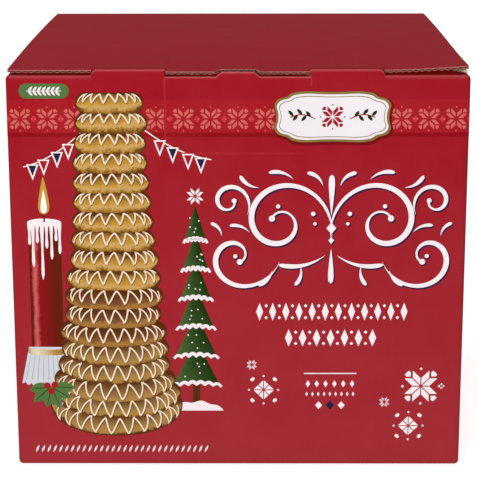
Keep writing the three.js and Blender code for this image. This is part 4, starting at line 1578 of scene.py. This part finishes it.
def scroll_strokes(layer, middle, moved=(0.0, 0.0), grown=0.0):
    """A scrolled ornament, alike on both sides of its middle: spirals whose radius shrinks by a
    constant ratio, each ending in a round drop, with bent drops along them."""
    moved = np.asarray(moved) + middle
    for side in (-1, 1):
        way = np.array((side, 1))
        for centre, first, last, start, end, width in SCROLLS:
            t = np.linspace(0, 1, 110)
            angle = np.radians(start + t * (end - start))
            radius = first * (last / first) ** t
            path = np.stack([np.cos(angle), np.sin(angle)], -1) * radius[:, None] + centre
            half = width * (0.18 + 0.82 * np.sin(math.pi * np.clip(t * 1.25, 0, 1)) ** 0.7)
            half = np.maximum(half, 0.55) * np.clip(t * 14, 0.12, 1) + grown
            layer.ribbon(path * way + moved, half)
            layer.disc(path[-1] * way + moved, width * 1.1 + grown)
        for foot, tip, width, bend in SCROLL_DROPS:
            foot, tip = np.array(foot) * way + moved, np.array(tip) * way + moved
            teardrop(layer, foot, tip, width + grown, bend * side)
        for place, radius in SCROLL_DOTS:
            layer.disc(np.array(place) * way + moved, radius + grown)
    for foot, tip, width in MIDDLE_DROPS:
        teardrop(layer, np.array(foot) + moved, np.array(tip) + moved, width + grown)
    for z, size in SCROLL_DIAMONDS:
        diamond(layer, moved + (0, z), size + grown, size * TALL + grown)


def make_scroll(context):
    """The large white scrolled ornament with its navy shadow, on the front and the back."""
    for side, middle in SCROLL_MIDDLES:
        shadow, strokes = InkLayer(context, side), InkLayer(context, side)
        scroll_strokes(shadow, middle, SCROLL_SHADOW, SCROLL_SHADOW_GROWN)
        scroll_strokes(strokes, middle)
        shadow.finish(f"scroll_shadow_{WALLS[side]}", "navy", 2)
        strokes.finish(f"scroll_{WALLS[side]}", "white", 4)


# left, right, up, half height and count of each row of diamonds and dots
ORNAMENT_ROWS = ((9.2, 90.4, 87.4, 5.0, 12), (24.6, 74.0, 72.8, 4.8, 7))
ROW_LINE = (35.2, 63.4, 52.4, 53.0)  # left, right, foot and top
# first and last place across, count, up, half width and half height of the small diamonds
SMALL_ROWS = ((37.4, 61.2, 6, 46.8, 1.2, 2.0), (36.8, 61.8, 9, 41.0, 0.7, 1.3))
STITCHES = (-109.5, -17.5, 30)  # first and last place across, and count
STITCH_FOOT, STITCH_TIP, STITCH_HALF_WIDTH = (-0.8, 7.4), (1.0, 11.4), 0.5
MARK_UP, MARK_WHITE, MARK_NAVY = 34.6, ((43.3, 1.9, 2.2), (55.5, 1.9, 2.2)), ((49.4, 2.3, 2.6),)


def ornament_row(layer, left, right, up, half_height, count):
    """A row of diamonds from left to right, with dots above and below between them. The sizes
    are shares of the way from one diamond to the next."""
    pitch = (right - left) / (count - 0.38)
    places = left + pitch * (0.31 + np.arange(count))
    for x in places:
        diamond(layer, (x, up), pitch * 0.27, half_height)
    for x in places[:-1] + pitch / 2:
        for z in (-1, 1):
            diamond(layer, (x, up + z * half_height * 0.66), pitch * 0.13, half_height * 0.2)


def make_rows(context):
    """The smaller ornaments: two rows under the scroll, a short mark of a line and diamonds, and
    a stitched line along the foot."""
    rows = InkLayer(context)
    for row in ORNAMENT_ROWS:
        ornament_row(rows, *row)
    rows.rectangle(*ROW_LINE)
    for first, last, count, up, *halves in SMALL_ROWS:
        for x in np.linspace(first, last, count):
            diamond(rows, (x, up), *halves)
    for x in np.linspace(*STITCHES):
        leaf(rows, STITCH_FOOT + np.array((x, 0)), STITCH_TIP + np.array((x, 0)), STITCH_HALF_WIDTH)
    rows.finish("ornament_rows", "white", 2)
    for name, kind, diamonds in (
        ("mark_white", "white", MARK_WHITE), ("mark_navy", "navy", MARK_NAVY)
    ):
        mark = InkLayer(context)
        for x, *halves in diamonds:
            diamond(mark, (x, MARK_UP), *halves)
        mark.finish(name, kind, 3)


LABEL_LEFT, LABEL_RIGHT, LABEL_UP, LABEL_HALF = -113.2, -87.2, 206.0, 3.9
SPRIG_MARGINS, SPRIG_HALF_WIDTH = (4, 5, 7), 0.22  # the stem's, the first leaf's and the last's
SPRIG_LEAF, SPRIG_LEAVES, SPRIG_LEAF_HALF_WIDTH = (2.2, 2.4), 7, 0.6


def make_label(context):
    """A small green label with round ends, and a sprig on it."""
    label, sprig = InkLayer(context), InkLayer(context)
    half, left, right, up = LABEL_HALF, LABEL_LEFT, LABEL_RIGHT, LABEL_UP
    turn = np.linspace(0, math.pi, 12)
    aside, rise = half * np.sin(turn), half * np.cos(turn)
    ends = [
        np.stack([right - half + aside, up - rise], -1),
        np.stack([left + half - aside, up + rise], -1),
    ]
    label.fan(np.concatenate(ends), ((left + right) / 2, up))
    label.finish("label", "green", 2)
    stem, first, last = SPRIG_MARGINS
    along, rise = SPRIG_LEAF
    places = np.linspace(left + stem, right - stem, 20)
    sprig.ribbon([(x, up) for x in places], SPRIG_HALF_WIDTH)
    for x in np.linspace(left + first, right - last, SPRIG_LEAVES):
        for z in (rise, -rise):
            leaf(sprig, (x, up), (x + along, up + z), SPRIG_LEAF_HALF_WIDTH)
    sprig.finish("label_sprig", "white", 3)


PLAQUE_REACH = 15.8  # half the height that the plaque and its shadow cover
SLIT_LENGTH, SLIT_SPACING = 5.0, 8.0
TEAR_CLEAR, TEAR_TOP_CLEAR = 3.3, 0.6  # from the panel's lower and upper corners to its rows
TEAR_POINTS, FOOT_SLITS = 13, 4  # along a stroke, and on each side of the foot row's middle
TEAR_HALF_WIDTH, SLIT_HALF_WIDTH = 0.5, 0.05
# name, material, left and right side from the seam's middle, and level
GLUE_SEAM = (("glue_seam", "kraft", -0.5, 0.5, 3), ("glue_seam_shadow", "crust", -0.7, -0.4, 4))
GLUE_SEAM_IN, GLUE_SEAM_FOOT, GLUE_SEAM_TOP = 4.5, 3, 5  # from the side, the foot and the top
# base_gap is painted shade: a dark line where the underside's flaps meet
# name, material, half width and how far it stands out under the carton
BASE_JOINT = (("base_joint", "kraft", 0.9, 0.02), ("base_gap", "crust", 0.35, 0.04))
BASE_JOINT_ROOT, BASE_JOINT_COLUMNS = 0.05, 31  # how deep it reaches into the board


def make_tear_lines(context):
    """The tear-open panel's rows of short slits, each row in a strip where the print is rubbed
    paler. The row that would cross the plaque stops above and below it."""
    carton = Carton(context)
    rubbed, slits = InkLayer(context), InkLayer(context)
    cut, spacing, clear = SLIT_LENGTH, SLIT_SPACING, TEAR_CLEAR
    foot, top = carton.cut_edge - carton.tear_height, carton.cut_edge - TEAR_TOP_CLEAR
    shares = np.linspace(0, 1, TEAR_POINTS)
    over, under = PLAQUE[1] + PLAQUE_REACH, PLAQUE[1] - PLAQUE_REACH
    stretches = ((-1, foot + clear, top), (1, foot + clear, under), (1, over, top))
    for side, low, high in stretches:
        x = side * carton.bridge_start
        rubbed.ribbon([(x, low + share * (high - low)) for share in shares], TEAR_HALF_WIDTH)
        for z in np.arange(carton.cut_edge - spacing, foot, -spacing):
            if low < z - cut / 2 and z + cut / 2 < high:
                slits.ribbon([(x, z + (share - 0.5) * cut) for share in shares], SLIT_HALF_WIDTH)
    end = carton.bridge_start - clear
    rubbed.ribbon([((2 * share - 1) * end, foot) for share in shares], TEAR_HALF_WIDTH)
    for x in np.arange(-FOOT_SLITS, FOOT_SLITS + 1) * spacing:
        slits.ribbon([(x + (share - 0.5) * cut, foot) for share in shares], SLIT_HALF_WIDTH)
    rubbed.finish("tear_rubbed", "rubbed", 3)
    # painted shade: the slits are dark ink on the board, not cuts
    slits.finish("tear_slits", "deep", 4)


def make_seams(context):
    """The seam of the glued end on the back wall, and the joint of the underside's flaps."""
    carton = Carton(context)
    middle, top = GLUE_SEAM_IN - carton.half, carton.wall_height - GLUE_SEAM_TOP
    for name, kind, left, right, level in GLUE_SEAM:
        seam = InkLayer(context, BACK)
        seam.rectangle(middle + left, middle + right, GLUE_SEAM_FOOT, top, rows=30)
        seam.finish(name, kind, level)
    for name, kind, half_width, out in BASE_JOINT:
        x = np.linspace(carton.flat, -carton.flat, BASE_JOINT_COLUMNS)[None, :]
        y = np.array([[-half_width], [half_width]])
        sheet(name, x, y, -out, -out - BASE_JOINT_ROOT, [material_of(context, kind)] * 3)


# ----------------------------------------------
# The stage


SKY_HORIZON, SKY_OVERHEAD = 0.2, 0.95  # the sky's strength, a straight line in height
FLOOR_HALF, FLOOR_LEVEL = 4.0, -0.0002  # metres
FLOOR_GREY, FLOOR_ROUGHNESS, FLOOR_GLOW = 0.5, 0.9, 0.72
KEY_ENERGY, KEY_SIZE = 13, 1.0
KEY_PLACE, KEY_TARGET = (-0.5, -1.6, 0.9), (0, 0, 0.1)
CAMERA_LENS, CAMERA_SENSOR = 127.55, 36  # millimetres
CAMERA_PLACE = (0.00663, -0.98595, 0.35096)
CAMERA_TURN = (75.495, 0.1, 0.4)  # degrees


def make_sky(scene):
    """Soft white light from all round, stronger from above, in front of a plain white backdrop."""
    world = bpy.data.worlds.new("Studio")
    world.use_nodes = True
    tree = world.node_tree
    soft, bright = tree.nodes["Background"], tree.nodes.new("ShaderNodeBackground")
    soft.inputs["Color"].default_value = bright.inputs["Color"].default_value = (1, 1, 1, 1)
    way = tree.nodes.new("ShaderNodeTexCoord").outputs["Generated"]
    rise = math_node(tree, "MAXIMUM", along_axis(tree, way, 2), 0)
    rise = math_node(tree, "MULTIPLY", rise, SKY_OVERHEAD - SKY_HORIZON)
    feed(tree, soft.inputs["Strength"], math_node(tree, "ADD", rise, SKY_HORIZON))
    path, mixed = tree.nodes.new("ShaderNodeLightPath"), tree.nodes.new("ShaderNodeMixShader")
    for socket, source in zip(
        mixed.inputs, (path.outputs["Is Camera Ray"], soft.outputs[0], bright.outputs[0])
    ):
        feed(tree, socket, source)
    feed(tree, tree.nodes["World Output"].inputs["Surface"], mixed.outputs[0])
    scene.world = world


def make_floor():
    """A pale square that glows a little, so that it stays as white as the backdrop."""
    paper = bpy.data.materials.new("Floor")
    paper.use_nodes = True
    shader = paper.node_tree.nodes["Principled BSDF"]
    shader.inputs["Base Color"].default_value = (FLOOR_GREY,) * 3 + (1,)
    shader.inputs["Roughness"].default_value = FLOOR_ROUGHNESS
    shader.inputs["Emission Color"].default_value = (1, 1, 1, 1)
    shader.inputs["Emission Strength"].default_value = FLOOR_GLOW
    corners = [(-1, -1), (1, -1), (1, 1), (-1, 1)]
    points = np.array([(x * FLOOR_HALF, y * FLOOR_HALF, FLOOR_LEVEL) for x, y in corners])
    new_object("floor", points / MM, [(0, 1, 2, 3)], [paper])


def make_stage(context):
    """A pale floor, soft white light from all round, and the camera."""
    scene = context.scene
    scene.view_settings.view_transform = "Standard"
    make_sky(scene)
    make_floor()
    light = bpy.data.lights.new("key", "AREA")
    light.energy, light.size = KEY_ENERGY, KEY_SIZE
    key = bpy.data.objects.new("key", light)
    key.location = KEY_PLACE
    key.rotation_mode = "QUATERNION"
    key.rotation_quaternion = (Vector(KEY_TARGET) - Vector(KEY_PLACE)).to_track_quat("-Z", "Y")
    lens = bpy.data.cameras.new("camera")
    lens.lens, lens.sensor_width = CAMERA_LENS, CAMERA_SENSOR
    camera = bpy.data.objects.new("camera", lens)
    camera.location = CAMERA_PLACE
    camera.rotation_euler = [math.radians(turn) for turn in CAMERA_TURN]
    for made in (key, camera):
        context.collection.objects.link(made)
    scene.camera = camera


# ----------------------------------------------
# Operators and panel


class CARTON_OT_walls(bpy.types.Operator):
    """Make the walls, the underside and their folds"""

    bl_idname = "carton.walls"
    bl_label = "Folded walls"

    def execute(self, context):
        make_walls(context)
        return {"FINISHED"}


class CARTON_OT_lid(bpy.types.Operator):
    """Make the lid's two sheets and the fluting between them"""

    bl_idname = "carton.lid"
    bl_label = "Corrugated lid"

    def execute(self, context):
        make_lid(context)
        return {"FINISHED"}


class CARTON_OT_bridges(bpy.types.Operator):
    """Make the creased bridges and the back fold"""

    bl_idname = "carton.bridges"
    bl_label = "Bridges"

    def execute(self, context):
        make_bridges(context)
        return {"FINISHED"}


class CARTON_OT_flaps(bpy.types.Operator):
    """Make the side flaps under the lid"""

    bl_idname = "carton.flaps"
    bl_label = "Flaps"

    def execute(self, context):
        make_flaps(context)
        return {"FINISHED"}


class CARTON_OT_band(bpy.types.Operator):
    """Print the knitted band round the carton"""

    bl_idname = "carton.band"
    bl_label = "Star band"

    def execute(self, context):
        make_band(context)
        return {"FINISHED"}


class CARTON_OT_white_stars(bpy.types.Operator):
    """Print the white stars on each wall"""

    bl_idname = "carton.white_stars"
    bl_label = "White stars"

    def execute(self, context):
        make_white_stars(context)
        return {"FINISHED"}


class CARTON_OT_tower(bpy.types.Operator):
    """Print the tower of iced rings"""

    bl_idname = "carton.tower"
    bl_label = "Ring tower"

    def execute(self, context):
        make_tower(context)
        return {"FINISHED"}


class CARTON_OT_candle(bpy.types.Operator):
    """Print the candle with its leaves and berries"""

    bl_idname = "carton.candle"
    bl_label = "Candle"

    def execute(self, context):
        make_candle(context)
        make_dish(context)
        return {"FINISHED"}


class CARTON_OT_tree(bpy.types.Operator):
    """Print the fir with snow on its tiers"""

    bl_idname = "carton.tree"
    bl_label = "Snowy fir"

    def execute(self, context):
        make_tree(context)
        return {"FINISHED"}


class CARTON_OT_pennants(bpy.types.Operator):
    """Print the strings of pennants"""

    bl_idname = "carton.pennants"
    bl_label = "Pennants"

    def execute(self, context):
        make_pennants(context)
        return {"FINISHED"}


class CARTON_OT_plaque(bpy.types.Operator):
    """Print the rimmed plaque over the band"""

    bl_idname = "carton.plaque"
    bl_label = "Plaque"

    def execute(self, context):
        make_plaque(context)
        return {"FINISHED"}


class CARTON_OT_scroll(bpy.types.Operator):
    """Print the scrolled ornaments"""

    bl_idname = "carton.scroll"
    bl_label = "Scrolls"

    def execute(self, context):
        make_scroll(context)
        return {"FINISHED"}


class CARTON_OT_rows(bpy.types.Operator):
    """Print the rows, the label and the short mark"""

    bl_idname = "carton.rows"
    bl_label = "Small ornaments"

    def execute(self, context):
        make_rows(context)
        make_label(context)
        return {"FINISHED"}


class CARTON_OT_seams(bpy.types.Operator):
    """Make the tear-open cuts and the seams"""

    bl_idname = "carton.seams"
    bl_label = "Cuts and seams"

    def execute(self, context):
        make_tear_lines(context)
        make_seams(context)
        return {"FINISHED"}


class CARTON_OT_stage(bpy.types.Operator):
    """Make the floor, the lights and the camera"""

    bl_idname = "carton.stage"
    bl_label = "Stage"

    def execute(self, context):
        make_stage(context)
        return {"FINISHED"}


OPERATORS = (
    CARTON_OT_walls,
    CARTON_OT_lid,
    CARTON_OT_bridges,
    CARTON_OT_flaps,
    CARTON_OT_band,
    CARTON_OT_white_stars,
    CARTON_OT_tower,
    CARTON_OT_candle,
    CARTON_OT_tree,
    CARTON_OT_pennants,
    CARTON_OT_plaque,
    CARTON_OT_scroll,
    CARTON_OT_rows,
    CARTON_OT_seams,
    CARTON_OT_stage,
)


class CARTON_PT_panel(bpy.types.Panel):
    """The carton's sizes, its inks and the steps that build it"""

    bl_label = "Carton"
    bl_idname = "CARTON_PT_panel"
    bl_space_type = "VIEW_3D"
    bl_region_type = "UI"
    bl_category = "Carton"

    def draw(self, context):
        for operator in OPERATORS:
            self.layout.operator(operator.bl_idname)
        for group in (context.scene.carton_sizes, context.scene.carton_inks):
            box = self.layout.box()
            for name in type(group).__annotations__:
                box.prop(group, name)


CLASSES = (CartonSizes, CartonInks, *OPERATORS, CARTON_PT_panel)


def register():
    """Adds the classes, and the sizes and inks of a scene."""
    for kind in CLASSES:
        bpy.utils.register_class(kind)
    bpy.types.Scene.carton_sizes = PointerProperty(type=CartonSizes)
    bpy.types.Scene.carton_inks = PointerProperty(type=CartonInks)


def unregister():
    """Takes all of that away again."""
    del bpy.types.Scene.carton_inks
    del bpy.types.Scene.carton_sizes
    for kind in reversed(CLASSES):
        bpy.utils.unregister_class(kind)


def main():
    """Builds the whole scene, a step at a time."""
    register()
    for operator in OPERATORS:
        getattr(bpy.ops.carton, operator.bl_idname.removeprefix("carton."))()


if __name__ == "__main__":
    main()
